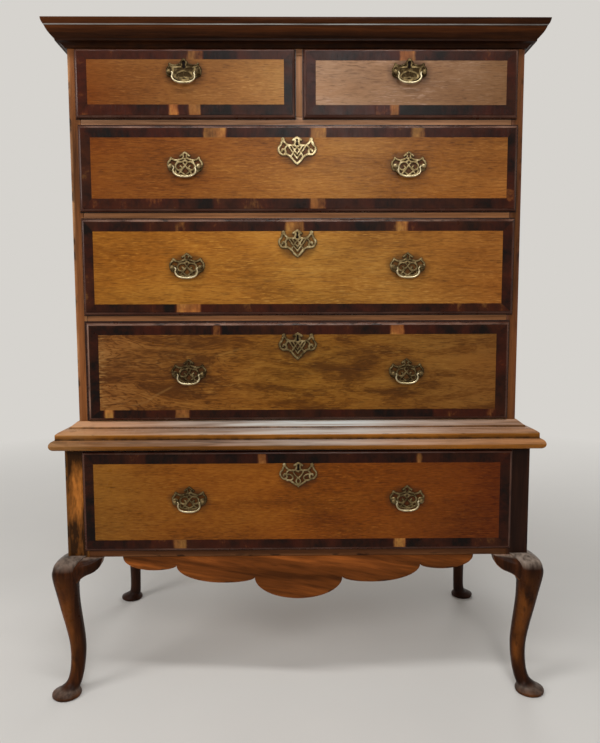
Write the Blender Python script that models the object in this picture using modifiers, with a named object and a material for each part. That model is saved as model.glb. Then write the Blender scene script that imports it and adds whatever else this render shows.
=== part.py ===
"""Chest on stand in oak and walnut: two short and three long drawers in an upper case, on a stand with
one long drawer, a shaped apron and four cabriole legs. The handles and escutcheons are pierced brass.

Metres, +Z up. The front faces -Y and the floor is Z = 0. The origin is midway between the feet's outer edges.
"""
import math

import bmesh
import bpy
from mathutils import Vector

# Clearances
SEAT_GAP = 0.0003         # between two pieces that touch
DRAWER_PLAY = 0.0015      # round a drawer in its opening
PIN_PLAY = 0.0004         # round the end of a bail in its post

# Upper case
CASE_WIDTH = 1.000
CASE_SIDE = 0.025         # thickness of the side boards
CASE_BACK = 0.010         # thickness of the back boards
BACK_SETBACK = 0.012      # from the back of the stand to the back of the case
BACK_BOARDS = 4
BACK_GROOVE = 0.003       # depth and half width of the groove between two back boards
RAIL_THICKNESS = 0.030
RAIL_DEPTH = 0.070
DUST_BOARD = 0.012
MUNTIN_WIDTH = 0.030      # upright between the two short drawers
MUNTIN_DEPTH = 0.040
PARTITION = 0.014         # thickness of the partition behind the muntin
TOP_BOARD = 0.014
CORNICE_LIFT = 0.006      # from the short drawers' opening up to the cornice

# Stand
LEDGE = 0.027             # step from the upper case out to the stand, at the front and the sides
STAND_DEPTH = 0.535
POST = 0.049
LEG_HEIGHT = 0.326        # floor to the underside of the rails
BOTTOM_RAIL = 0.021
STAND_TOP_RAIL = 0.0505
STAND_BOARD = 0.018       # thickness of the sides, the back and the apron
RUNNER_WIDTH = 0.058
RUNNER_HEIGHT = 0.020
GUIDE_HEIGHT = 0.016      # of the guide strip that stands on each runner
WAIST_DROP = 0.0018       # from the lowest case drawer down to the waist moulding

# Cabriole front legs: width across each station, and how far its centre is thrown out from the post's centre
PAD_WIDTH = 0.072
PAD_THROW = 0.0270
PAD_HEIGHT = 0.015
PAD_ROUND = 0.004
ANKLE_WIDTH = 0.0325
ANKLE_THROW = 0.0175
SHIN_WIDTH = 0.0350
SHIN_THROW = 0.0123
CALF_WIDTH = 0.0447
CALF_THROW = 0.0243
KNEE_WIDTH = 0.0560
KNEE_THROW = 0.0295
SHOULDER_WIDTH = 0.0560
SHOULDER_THROW = 0.0255
NECK_INSET = 0.002        # from the post's faces in to the top of the leg's curve
ANKLE_RISE = 0.07         # heights of the stations as shares of the leg above the pad
SHIN_RISE = 0.31
CALF_RISE = 0.66
KNEE_RISE = 0.875
SHOULDER_RISE = 0.955
NECK_RISE = 1.012
ROUND = 2.0               # squareness of the sections: 2 is round, and more is nearer to a square
ANKLE_SQUARE = 2.4
SHIN_SQUARE = 2.8
CALF_SQUARE = 3.0
KNEE_SQUARE = 3.2
SHOULDER_SQUARE = 3.6
NECK_SQUARE = 8.0
BRACKET_REACH = 0.035     # from the post's inner face to the tip of a knee bracket
BRACKET_DROP = 0.062      # depth of a knee bracket where it meets the leg
BRACKET_TIP = 0.004       # depth of a knee bracket at its tip
BRACKET_THICKNESS = 0.030
BRACKET_SWELL = 0.024     # forward bulge of a knee bracket where it meets the leg
BRACKET_FACE = 0.002      # forward bulge of a knee bracket at its top and tip
BULGE_DROP = 0.4          # share of a bracket's depth at which it bulges most
BULGE_FOOT = 0.6          # share of the bulge left at a bracket's lower edge

# Straight back legs: width across each station, in line with the post
BACK_PAD_WIDTH = 0.065
BACK_ANKLE_WIDTH = 0.030
BACK_SHIN_WIDTH = 0.036
BACK_SHIN_RISE = 0.50

# Aprons: clear rail beside each knee bracket, depths of the lobes and cusps, and places as shares of the half length
APRON_MARGIN = 0.045
APRON_END = 0.004
OUTER_LOBE = 0.0385
OUTER_CUSP = 0.022
OUTER_CUSP_SHARE = 0.705
MIDDLE_LOBE = 0.0635
MIDDLE_LOBE_SHARE = 0.43
INNER_CUSP = 0.051
INNER_CUSP_SHARE = 0.254
CENTRE_LOBE = 0.102
SIDE_APRON_DROP = 0.040

# Drawers
SHORT_FRONT = 0.138       # heights of the fronts, lips included
UPPER_FRONT = 0.179
MIDDLE_FRONT = 0.206
LOWER_FRONT = 0.217
STAND_FRONT = 0.223
LIP = 0.004               # overlap of a front on the frame round its opening
FRONT_PROUD = 0.010       # thickness of a front outside its opening
FRONT_TONGUE = 0.012      # thickness of a front inside its opening
FRONT_ROUND = 0.006       # rounded edge of a front
DRAWER_WALL = 0.011
DRAWER_BOTTOM = 0.008
BOTTOM_RECESS = 0.007     # from the lower edge of a drawer's sides up to its bottom
HEADROOM = 0.008          # above a drawer's sides
BACK_SPACE = 0.018        # behind a closed drawer

# Handles and escutcheons
HANDLE_SPACING = 0.492    # between the two handles of a long drawer
SHORT_HANDLE_RISE = 0.093   # from the lower edge of a front to the posts of its handles
UPPER_HANDLE_RISE = 0.0955
MIDDLE_HANDLE_RISE = 0.104
LOWER_HANDLE_RISE = 0.106
STAND_HANDLE_RISE = 0.116
PLATE_THICKNESS = 0.0018
POST_SPACING = 0.062
POST_HEAD = 0.0056        # radius of a handle post's head
POST_NECK = 0.0030
HINGE_STANDOFF = 0.0105   # from a front to the axis of its bails
BAIL_WIRE = 0.0019        # radius of the bail
BAIL_DROP = 0.0285
BAIL_SHOULDER = 0.0020    # from a post's head in to the bend of the bail
ESCUTCHEON_DROP = 0.018   # from the top edge of a front down to its escutcheon
# Head of a post from its tip back: radius and height above the axis, as shares of its radius
POST_HEAD_PROFILE = ((0.0, 1.0), (0.75, 0.6), (1.0, 0.0), (0.8, -0.6))
# Elbow of a bail beside its post: x from the bend and drop from the axis, as multiples of the wire's radius
BAIL_ELBOW = ((2.0, 0.0), (0.6, 0.4), (0.0, 1.6))
# Half path of a bail under its elbow: x as a share of the bend's x, and share of the whole drop
BAIL_PATH = ((1.03, 0.40), (0.93, 0.66), (0.72, 0.87), (0.42, 0.98), (0.0, 1.0))

# Mouldings, from the bottom up: how far each member runs outwards and rises, and the swell of its arc
CORNICE_MEMBERS = (
    (0.0030, 0.0, 0.0),
    (0.0145, 0.0180, -0.0022),
    (0.0015, 0.0, 0.0),
    (0.0, 0.0045, 0.0),
    (0.0160, 0.0205, 0.0022),
    (0.0020, 0.0025, 0.0),
    (0.0040, 0.0125, 0.0010),
)
WAIST_MEMBERS = (
    (0.0150, 0.0, 0.0),
    (0.0, 0.0230, 0.0115),
    (0.0, 0.0125, 0.0),
    (-0.0235, 0.0100, 0.0020),
    (-0.0020, 0.0030, 0.0),
    (-0.0145, 0.0120, 0.0),
)

# Half outlines of the brass, from the top centre to the bottom centre: x, z and whether it is a sharp corner
HANDLE_OUTLINE = (
    (0.0, 0.0330, True),
    (0.0065, 0.0265, False),
    (0.0085, 0.0215, True),
    (0.0165, 0.0185, False),
    (0.0250, 0.0170, True),
    (0.0335, 0.0215, True),
    (0.0370, 0.0140, False),
    (0.0435, 0.0090, True),
    (0.0425, 0.0, False),
    (0.0375, -0.0080, False),
    (0.0290, -0.0105, False),
    (0.0215, -0.0185, False),
    (0.0100, -0.0235, False),
    (0.0, -0.0260, True),
)
ESCUTCHEON_CREST = (
    (0.0, 0.0315, True),
    (0.0090, 0.0255, True),
    (0.0062, 0.0200, False),
    (0.0095, 0.0130, False),
    (0.0195, 0.0135, False),
    (0.0265, 0.0210, True),
    (0.0300, 0.0290, False),
    (0.0355, 0.0235, False),
    (0.0365, 0.0150, False),
    (0.0425, 0.0050, False),
)
POINTED_FOOT = (
    (0.0385, -0.0065, False),
    (0.0290, -0.0105, True),
    (0.0205, -0.0090, False),
    (0.0135, -0.0150, True),
    (0.0060, -0.0245, False),
    (0.0, -0.0315, True),
)
OVAL_FOOT = (
    (0.0375, -0.0075, False),
    (0.0270, -0.0130, False),
    (0.0185, -0.0130, True),
    (0.0110, -0.0205, False),
    (0.0045, -0.0245, True),
    (0.0, -0.0300, True),
)
# Piercings of the brass: centre x and z, and half width and half height
HANDLE_PIERCINGS = ((0.0125, -0.0010, 0.0075, 0.0065), (0.0115, -0.0155, 0.0045, 0.0028))
ESCUTCHEON_PIERCINGS = ((0.0345, 0.0035, 0.0045, 0.0065), (0.0195, 0.0025, 0.0050, 0.0052))
CREST_PIERCING = (0.0, 0.0225, 0.0028, 0.0030)
KEYHOLE_RADIUS = 0.0030
KEYHOLE_SLOT = 0.0016     # half width of the slot under the keyhole's eye
KEYHOLE_LENGTH = 0.0110   # from the keyhole's eye to the foot of its slot
HANDLE_KEYHOLE_TOP = 0.0215   # height of the keyhole's eye above the posts
ESCUTCHEON_KEYHOLE_TOP = 0.0215

# Facets
ARC_STEPS = 4
LEG_SIDES = 16
LEG_STEPS = 3
PLATE_STEPS = 2
PIERCING_SIDES = 8
OVAL_START = 0.3          # share of a side by which an oval's first point is turned from the level
TURNED_SIDES = 8
ROUND_STEPS = 2           # across the rounded edge of a drawer front
SMOOTH_ANGLE = math.radians(45)   # edges sharper than this stay crisp
WELD = 0.00001            # points nearer than this are made one

# Places that follow from the sizes
stand_half = CASE_WIDTH / 2 + LEDGE
front_reach = PAD_THROW + PAD_WIDTH / 2 - POST / 2
back_reach = BACK_PAD_WIDTH / 2 - POST / 2
stand_front = front_reach - (front_reach + STAND_DEPTH + back_reach) / 2
stand_back = stand_front + STAND_DEPTH
post_inner = stand_half - POST
case_half = CASE_WIDTH / 2
case_inner = case_half - CASE_SIDE
case_front = stand_front + LEDGE
case_back = stand_back - BACK_SETBACK
boards_front = case_back - CASE_BACK
stand_sill = LEG_HEIGHT + BOTTOM_RAIL
stand_head = stand_sill + STAND_FRONT - 2 * LIP
stand_top = stand_head + STAND_TOP_RAIL
case_bottom = stand_top + SEAT_GAP
lower_sill = case_bottom + RAIL_THICKNESS
lower_head = lower_sill + LOWER_FRONT - 2 * LIP
middle_sill = lower_head + RAIL_THICKNESS
middle_head = middle_sill + MIDDLE_FRONT - 2 * LIP
upper_sill = middle_head + RAIL_THICKNESS
upper_head = upper_sill + UPPER_FRONT - 2 * LIP
short_sill = upper_head + RAIL_THICKNESS
short_head = short_sill + SHORT_FRONT - 2 * LIP
cornice_bottom = short_head + CORNICE_LIFT
cornice_top = cornice_bottom + sum(rise for run, rise, swell in CORNICE_MEMBERS)
top_board_bottom = cornice_top - TOP_BOARD
waist_top = lower_sill - LIP - WAIST_DROP
waist_bottom = waist_top - sum(rise for run, rise, swell in WAIST_MEMBERS)
stand_boards_front = stand_back - STAND_BOARD

# Colour, roughness and metallic value of each finish
FINISHES = {
    "oak_front": ((0.33, 0.155, 0.045, 1.0), 0.38, 0.0),
    "walnut_case": ((0.16, 0.070, 0.028, 1.0), 0.40, 0.0),
    "walnut_moulding": ((0.20, 0.085, 0.025, 1.0), 0.32, 0.0),
    "walnut_leg": ((0.15, 0.050, 0.020, 1.0), 0.32, 0.0),
    "oak_lining": ((0.36, 0.23, 0.12, 1.0), 0.65, 0.0),
    "brass_plate": ((0.42, 0.33, 0.16, 1.0), 0.40, 1.0),
    "brass_bail": ((0.55, 0.44, 0.22, 1.0), 0.30, 1.0),
}


def clear_scene():
    """Removes every object, so that the chest is modelled in an empty scene."""
    for existing in list(bpy.data.objects):
        bpy.data.objects.remove(existing, do_unlink=True)


def new_collection(name):
    collection = bpy.data.collections.new(name)
    bpy.context.scene.collection.children.link(collection)
    return collection


def new_material(name, colour, roughness, metallic):
    material = bpy.data.materials.new(name)
    material.use_nodes = True
    shader = material.node_tree.nodes["Principled BSDF"]
    shader.inputs["Base Color"].default_value = colour
    shader.inputs["Roughness"].default_value = roughness
    shader.inputs["Metallic"].default_value = metallic
    material.diffuse_color = colour
    return material


class Workshop:
    """Holds the collections, the finishes and the parent of the pieces being made."""

    def __init__(self):
        self.parts = new_collection("chest_on_stand")
        self.cutters = new_collection("cutters")
        self.finishes = {name: new_material(name, *values) for name, values in FINISHES.items()}
        self.root = self.add_empty("chest_frame", (0.0, 0.0, 0.0), None)

    def add_empty(self, name, place, parent):
        empty = bpy.data.objects.new(name, None)
        self.parts.objects.link(empty)
        self.set_place(empty, place, parent)
        return empty

    def set_place(self, piece, place, parent):
        """Puts a piece at a world position under an unturned parent."""
        piece.parent = parent
        shift = parent["world"] if parent else (0.0, 0.0, 0.0)
        piece.location = Vector(place) - Vector(shift)
        piece["world"] = tuple(place)

    def add_piece(self, name, shape, finish, place=(0.0, 0.0, 0.0), turn=(0.0, 0.0, 0.0), parent=None):
        """One sub-part: a mesh or curve with its finish, at a world position."""
        piece = bpy.data.objects.new(name, shape)
        self.parts.objects.link(piece)
        self.set_place(piece, place, parent or self.root)
        piece.rotation_euler = turn
        if not shape.materials:
            shape.materials.append(self.finishes[finish])
        return piece

    def add_guide(self, name, shape, place=(0.0, 0.0, 0.0), turn=(0.0, 0.0, 0.0)):
        """A cutter or a profile, which isn't a part of the chest."""
        guide = bpy.data.objects.new(name, shape)
        self.cutters.objects.link(guide)
        guide.location = place
        guide.rotation_euler = turn
        guide.hide_render = True
        guide.display_type = "WIRE"
        return guide


FACING_FRONT = (math.pi / 2, 0.0, 0.0)            # outline x to the right and y up, thickness along Y
FACING_SIDE = (math.pi / 2, 0.0, math.pi / 2)     # outline x to the back and y up, thickness along X


def box_mesh(name, size):
    """A box of the given size about its own centre."""
    mesh = bpy.data.meshes.new(name)
    shape = bmesh.new()
    bmesh.ops.create_cube(shape, size=1.0)
    bmesh.ops.scale(shape, vec=size, verts=shape.verts)
    shape.to_mesh(mesh)
    shape.free()
    return mesh


def add_board(shop, name, low, high, finish, parent=None):
    """A straight board between two opposite corners."""
    low, high = Vector(low), Vector(high)
    return shop.add_piece(name, box_mesh(name, high - low), finish, (low + high) / 2, parent=parent)


def add_box_cutter(shop, name, low, high):
    low, high = Vector(low), Vector(high)
    return shop.add_guide(name, box_mesh(name, high - low), (low + high) / 2)


def add_boolean(piece, tool, operation):
    modifier = piece.modifiers.new(tool.name, "BOOLEAN")
    modifier.operation = operation
    modifier.object = tool


def poly_spline(curve, points, closed=True):
    spline = curve.splines.new("POLY")
    spline.points.add(len(points) - 1)
    for knot, point in zip(spline.points, points):
        knot.co = (point[0], point[1], 0.0, 1.0)
    spline.use_cyclic_u = closed


def smooth_spline(curve, points):
    """A closed Bezier outline that is smooth except at the points marked as corners."""
    spline = curve.splines.new("BEZIER")
    spline.bezier_points.add(len(points) - 1)
    for knot, (across, along, corner) in zip(spline.bezier_points, points):
        knot.co = (across, along, 0.0)
        knot.handle_left_type = knot.handle_right_type = "VECTOR" if corner else "AUTO"
    spline.use_cyclic_u = True


def flat_curve(name, thickness):
    """An empty flat outline of the given thickness, which takes an outer spline and any piercings."""
    curve = bpy.data.curves.new(name, "CURVE")
    curve.dimensions = "2D"
    curve.fill_mode = "BOTH"
    curve.extrude = thickness / 2
    curve.resolution_u = curve.render_resolution_u = PLATE_STEPS
    return curve


def outline_curve(name, points, thickness):
    curve = flat_curve(name, thickness)
    poly_spline(curve, points)
    return curve


def weld(mesh):
    shape = bmesh.new()
    shape.from_mesh(mesh)
    bmesh.ops.remove_doubles(shape, verts=shape.verts, dist=WELD)
    bmesh.ops.recalc_face_normals(shape, faces=shape.faces)
    shape.to_mesh(mesh)
    shape.free()


def finished_mesh(piece):
    """The evaluated shape of a piece as a closed mesh in the piece's own frame."""
    graph = bpy.context.evaluated_depsgraph_get()
    mesh = bpy.data.meshes.new_from_object(piece.evaluated_get(graph))
    weld(mesh)
    return mesh


def mesh_from_curve(shop, curve):
    """Makes a flat or turned guide shape into a mesh and removes the guide."""
    guide = shop.add_guide(curve.name, curve)
    mesh = finished_mesh(guide)
    bpy.data.objects.remove(guide)
    return mesh


def joined_mesh(shop, name, base, joined, cut=()):
    """One mesh out of a base mesh with others joined to it and then others cut from it, each at its place."""
    body = shop.add_guide(name, base)
    tools = []
    for operation, shapes in (("UNION", joined), ("DIFFERENCE", cut)):
        for shape, place, turn in shapes:
            tool = shop.add_guide(shape.name, shape, place, turn)
            add_boolean(body, tool, operation)
            tools.append(tool)
    bpy.context.view_layer.update()
    mesh = finished_mesh(body)
    for guide in tools + [body]:
        bpy.data.objects.remove(guide)
    return mesh


def loft_mesh(name, rings):
    """A closed skin over rings of equally many points, with a flat cap at each end."""
    mesh = bpy.data.meshes.new(name)
    shape = bmesh.new()
    loops = [[shape.verts.new(point) for point in ring] for ring in rings]
    count = len(rings[0])
    for lower, upper in zip(loops, loops[1:]):
        for index in range(count):
            following = (index + 1) % count
            shape.faces.new((lower[index], lower[following], upper[following], upper[index]))
    shape.faces.new(list(reversed(loops[0])))
    shape.faces.new(loops[-1])
    bmesh.ops.recalc_face_normals(shape, faces=shape.faces)
    shape.to_mesh(mesh)
    shape.free()
    return mesh


def arc_points(start, end, swell, steps=ARC_STEPS):
    """Points after start along a circular arc to end. The arc stands out by swell to the right of the way."""
    start, end = Vector(start), Vector(end)
    chord = end - start
    if not swell:
        return [end]
    along = chord.normalized()
    side = Vector((along.y, -along.x)) * math.copysign(1.0, swell)
    half_angle = 2 * math.atan2(2 * abs(swell), chord.length)
    radius = chord.length / (2 * math.sin(half_angle))
    points = []
    for step in range(1, steps + 1):
        angle = half_angle * (2 * step / steps - 1)
        reach = radius * math.sin(angle) + chord.length / 2
        rise = radius * (math.cos(angle) - math.cos(half_angle))
        points.append(start + along * reach + side * rise)
    return points


def arc_through(start, lowest, end, steps=ARC_STEPS):
    """A lobe: two quarter waves, from start down to its lowest point and up to end, with start left out."""
    points = []
    for step in range(1, steps + 1):
        angle = math.pi / 2 * step / steps
        points.append((start[0] + (lowest[0] - start[0]) * (1 - math.cos(angle)),
                       start[1] + (lowest[1] - start[1]) * math.sin(angle)))
    for step in range(1, steps + 1):
        angle = math.pi / 2 * step / steps
        points.append((lowest[0] + (end[0] - lowest[0]) * math.sin(angle),
                       lowest[1] + (end[1] - lowest[1]) * (1 - math.cos(angle))))
    return points


def moulding_face(start, members):
    points = [Vector(start)]
    for run, rise, swell in members:
        points += arc_points(points[-1], points[-1] + Vector((run, rise)), swell)
    return points


def add_moulding(shop, name, profile, finish):
    """Carries a profile along the left side, the front and the right side of the upper case, with mitred corners."""
    guide_curve = bpy.data.curves.new(name + "_profile", "CURVE")
    guide_curve.dimensions = "2D"
    poly_spline(guide_curve, profile)
    guide = shop.add_guide(name + "_profile", guide_curve)
    path = bpy.data.curves.new(name, "CURVE")
    path.dimensions = "2D"
    path.fill_mode = "BOTH"
    poly_spline(path, [(-case_half, case_back), (-case_half, case_front),
                       (case_half, case_front), (case_half, case_back)], closed=False)
    path.bevel_mode = "OBJECT"
    path.bevel_object = guide
    path.use_fill_caps = True
    mesh = mesh_from_curve(shop, path)
    bpy.data.objects.remove(guide)
    return shop.add_piece(name, mesh, finish)


def add_upper_case(shop):
    """Sides, top, bottom, dividers, partition, back boards and cornice of the upper case."""
    inner = case_inner - SEAT_GAP
    dividers_back = boards_front - SEAT_GAP
    for name, side in (("left", -1), ("right", 1)):
        edges = sorted((side * case_half, side * case_inner))
        add_board(shop, f"upper_{name}_side", (edges[0], case_front, case_bottom),
                  (edges[1], case_back, top_board_bottom), "walnut_case")
    add_board(shop, "upper_bottom_board", (-inner, case_front, case_bottom),
              (inner, dividers_back, lower_sill), "oak_lining")
    add_board(shop, "upper_top_rail", (-inner, case_front, short_head),
              (inner, case_front + RAIL_DEPTH, top_board_bottom), "walnut_case")
    add_board(shop, "top_board", (-case_half, case_front, top_board_bottom + SEAT_GAP),
              (case_half, case_back, cornice_top), "walnut_case")
    for name, head in (("lower", lower_head), ("middle", middle_head), ("upper", upper_head)):
        add_divider(shop, f"{name}_divider", inner, dividers_back, head)
    add_partition(shop, dividers_back)
    add_back_boards(shop, inner)
    face = moulding_face((SEAT_GAP, cornice_bottom), CORNICE_MEMBERS)
    profile = face + [Vector((SEAT_GAP, cornice_top))]
    add_moulding(shop, "cornice_moulding", profile, "walnut_moulding")


def add_divider(shop, name, half_width, back, head):
    """A front rail with a thinner dust board behind it, level at the top, where the drawer above runs."""
    top = head + RAIL_THICKNESS
    rail_back = case_front + RAIL_DEPTH
    outline = [(case_front, head), (rail_back, head), (rail_back, top - DUST_BOARD),
               (back, top - DUST_BOARD), (back, top), (case_front, top)]
    shop.add_piece(name, outline_curve(name, outline, 2 * half_width), "walnut_case", turn=FACING_SIDE)


def add_partition(shop, back):
    """The muntin between the short drawers with the partition behind it, drawn from above."""
    bottom = short_sill + SEAT_GAP
    top = short_head - SEAT_GAP
    muntin_back = case_front + MUNTIN_DEPTH
    right_half = [(MUNTIN_WIDTH / 2, case_front), (MUNTIN_WIDTH / 2, muntin_back),
                  (PARTITION / 2, muntin_back), (PARTITION / 2, back)]
    outline = right_half + [(-across, along) for across, along in reversed(right_half)]
    curve = outline_curve("centre_partition", outline, top - bottom)
    shop.add_piece("centre_partition", curve, "walnut_case", (0.0, 0.0, (bottom + top) / 2))


def add_back_boards(shop, half_width):
    """Upright back boards drawn from above, with a groove at each joint."""
    height = top_board_bottom - case_bottom
    outline = [(half_width, boards_front), (-half_width, boards_front), (-half_width, case_back)]
    for joint in range(1, BACK_BOARDS):
        middle = -half_width + 2 * half_width * joint / BACK_BOARDS
        outline += [(middle - BACK_GROOVE, case_back), (middle, case_back - BACK_GROOVE),
                    (middle + BACK_GROOVE, case_back)]
    outline.append((half_width, case_back))
    curve = outline_curve("upper_back_boards", list(reversed(outline)), height)
    shop.add_piece("upper_back_boards", curve, "oak_lining", (0.0, 0.0, case_bottom + height / 2))


def add_stand(shop):
    """Legs, rails, sides, back, runners, apron and waist moulding."""
    inner = post_inner - SEAT_GAP
    add_legs(shop)
    add_board(shop, "stand_top_rail", (-inner, stand_front, stand_head),
              (inner, stand_front + RAIL_DEPTH, stand_top), "walnut_case")
    add_board(shop, "stand_bottom_rail", (-inner, stand_front, LEG_HEIGHT + SEAT_GAP),
              (inner, stand_front + RAIL_DEPTH, stand_sill), "walnut_case")
    add_board(shop, "stand_back", (-inner, stand_boards_front, LEG_HEIGHT + SEAT_GAP),
              (inner, stand_back, stand_top), "oak_lining")
    add_stand_sides(shop)
    add_runners(shop)
    add_apron(shop)
    face = moulding_face((LEDGE + SEAT_GAP, waist_bottom), WAIST_MEMBERS)
    seat = stand_top + SEAT_GAP
    profile = face + [Vector((SEAT_GAP, waist_top)), Vector((SEAT_GAP, seat)), Vector((LEDGE + SEAT_GAP, seat))]
    add_moulding(shop, "waist_moulding", profile, "walnut_moulding")


def leg_ring(height, width, throw, squareness):
    """A rounded square section of a leg, a superellipse thrown out along the leg's diagonal."""
    ring = []
    for index in range(LEG_SIDES):
        angle = 2 * math.pi * index / LEG_SIDES
        across, along = math.cos(angle), math.sin(angle)
        power = 2 / squareness
        ring.append((math.copysign(abs(across) ** power, across) * width / 2 - throw,
                     math.copysign(abs(along) ** power, along) * width / 2 - throw, height))
    return ring


def smooth_between(before, start, end, after, share):
    """A Catmull-Rom value between start and end."""
    return 0.5 * (2 * start + (end - before) * share
                  + (2 * before - 5 * start + 4 * end - after) * share ** 2
                  + (3 * start - before - 3 * end + after) * share ** 3)


def leg_rings(pad_width, pad_throw, curve):
    """Sections of a leg from the floor up: its pad, then a smooth way through the stations of its curve."""
    rise = LEG_HEIGHT - PAD_HEIGHT
    ankle_width, ankle_throw = curve[0][1:3]
    stations = [(PAD_HEIGHT, (pad_width + ankle_width) / 2, (2 * pad_throw + ankle_throw) / 3, ROUND)]
    stations += [(PAD_HEIGHT + share * rise, width, throw, square) for share, width, throw, square in curve]
    rings = [leg_ring(0.0, pad_width - 2 * PAD_ROUND, pad_throw, ROUND),
             leg_ring(PAD_ROUND, pad_width, pad_throw, ROUND),
             leg_ring(PAD_HEIGHT - 2 * PAD_ROUND, pad_width, pad_throw, ROUND), leg_ring(*stations[0])]
    padded = [stations[0]] + stations + [stations[-1]]
    for index in range(1, len(padded) - 2):
        steps = LEG_STEPS if index < len(padded) - 3 else 1
        for step in range(1, steps + 1):
            values = zip(*padded[index - 1:index + 3])
            rings.append(leg_ring(*(smooth_between(*four, step / steps) for four in values)))
    return rings


def front_leg_rings():
    return leg_rings(PAD_WIDTH, PAD_THROW, (
        (ANKLE_RISE, ANKLE_WIDTH, ANKLE_THROW, ANKLE_SQUARE),
        (SHIN_RISE, SHIN_WIDTH, SHIN_THROW, SHIN_SQUARE),
        (CALF_RISE, CALF_WIDTH, CALF_THROW, CALF_SQUARE),
        (KNEE_RISE, KNEE_WIDTH, KNEE_THROW, KNEE_SQUARE),
        (SHOULDER_RISE, SHOULDER_WIDTH, SHOULDER_THROW, SHOULDER_SQUARE),
        (NECK_RISE, POST - 2 * NECK_INSET, NECK_INSET / 2, NECK_SQUARE),
    ))


def back_leg_rings():
    return leg_rings(BACK_PAD_WIDTH, 0.0, (
        (ANKLE_RISE, BACK_ANKLE_WIDTH, 0.0, ROUND),
        (BACK_SHIN_RISE, BACK_SHIN_WIDTH, 0.0, ROUND),
        (NECK_RISE, POST - 2 * NECK_INSET, 0.0, NECK_SQUARE),
    ))


def bracket_rings():
    """Sections of the knee bracket that reaches along +X, from inside the leg to its tip."""
    face = -POST / 2
    back = face + BRACKET_THICKNESS
    top = LEG_HEIGHT
    start = -KNEE_THROW / 2
    tip = POST / 2 + BRACKET_REACH
    rings = []
    for step in range(ARC_STEPS + 2):
        share = step / (ARC_STEPS + 1)
        depth = BRACKET_TIP + (BRACKET_DROP - BRACKET_TIP) * math.cos(share * math.pi / 2)
        swell = BRACKET_FACE + BRACKET_SWELL * (1 - share ** 2)
        across = start + (tip - start) * share
        rings.append([(across, face - BRACKET_FACE, top), (across, face - swell, top - depth * BULGE_DROP),
                      (across, face - swell * BULGE_FOOT, top - depth),
                      (across, back, top - depth), (across, back, top)])
    return rings


def add_legs(shop):
    """Two cabriole front legs, each symmetric about its diagonal and so alike but for a quarter turn, and two
    straight back legs."""
    bracket = loft_mesh("knee_bracket", bracket_rings())
    mirrored = loft_mesh("side_knee_bracket", [[(y, x, z) for x, y, z in ring] for ring in bracket_rings()])
    post_height = stand_top - LEG_HEIGHT
    post = box_mesh("leg_post", (POST, POST, post_height))
    still = (0.0, 0.0, 0.0)
    posted = [(post, (0.0, 0.0, LEG_HEIGHT + post_height / 2), still)]
    bracketed = posted + [(bracket, still, still), (mirrored, still, still)]
    front = joined_mesh(shop, "front_leg", loft_mesh("front_leg_curve", front_leg_rings()), bracketed)
    back = joined_mesh(shop, "back_leg", loft_mesh("back_leg_curve", back_leg_rings()), posted)
    corner = stand_half - POST / 2
    for name, side, turn in (("left", -1, 0.0), ("right", 1, math.pi / 2)):
        shop.add_piece(f"front_{name}_leg", front, "walnut_leg", (side * corner, stand_front + POST / 2, 0.0),
                       (0.0, 0.0, turn))
        shop.add_piece(f"back_{name}_leg", back, "walnut_leg", (side * corner, stand_back - POST / 2, 0.0))
    for mesh in (front, back):
        mesh.shade_smooth()
        mesh.set_sharp_from_angle(angle=SMOOTH_ANGLE)


def add_stand_sides(shop):
    """Side boards between the posts, with a low shaped apron in the middle of each."""
    half = STAND_DEPTH / 2 - POST - SEAT_GAP
    bottom = LEG_HEIGHT + SEAT_GAP
    shaped = half - BRACKET_REACH - APRON_MARGIN
    edge = [(-half, bottom), (-shaped, bottom)]
    edge += arc_points((-shaped, bottom), (-shaped / 2, bottom - SIDE_APRON_DROP / 2), -SIDE_APRON_DROP / 6)
    edge += arc_points(edge[-1], (0.0, bottom - SIDE_APRON_DROP), SIDE_APRON_DROP / 6)
    outline = edge + [(-along, up) for along, up in reversed(edge[:-1])]
    outline += [(half, stand_top), (-half, stand_top)]
    for name, side in (("left", -1), ("right", 1)):
        full = f"stand_{name}_side"
        place = (side * (stand_half - STAND_BOARD / 2), (stand_front + stand_back) / 2, 0.0)
        shop.add_piece(full, outline_curve(full, outline, STAND_BOARD), "walnut_case", place, FACING_SIDE)


def add_runners(shop):
    """Runners of the stand drawer. Each has a guide strip on its outer edge, beside the drawer."""
    outer = stand_half - STAND_BOARD - SEAT_GAP
    guide = post_inner
    front = stand_front + RAIL_DEPTH + SEAT_GAP
    back = stand_back - POST - SEAT_GAP
    bottom = stand_sill - RUNNER_HEIGHT
    right = [(outer - RUNNER_WIDTH, bottom), (outer, bottom), (outer, stand_sill + GUIDE_HEIGHT),
             (guide, stand_sill + GUIDE_HEIGHT), (guide, stand_sill), (outer - RUNNER_WIDTH, stand_sill)]
    for name, side in (("left", -1), ("right", 1)):
        full = f"stand_{name}_runner"
        outline = [(side * across, up) for across, up in right]
        shop.add_piece(full, outline_curve(full, outline, back - front), "oak_lining",
                       (0.0, (front + back) / 2, 0.0), FACING_FRONT)


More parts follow.
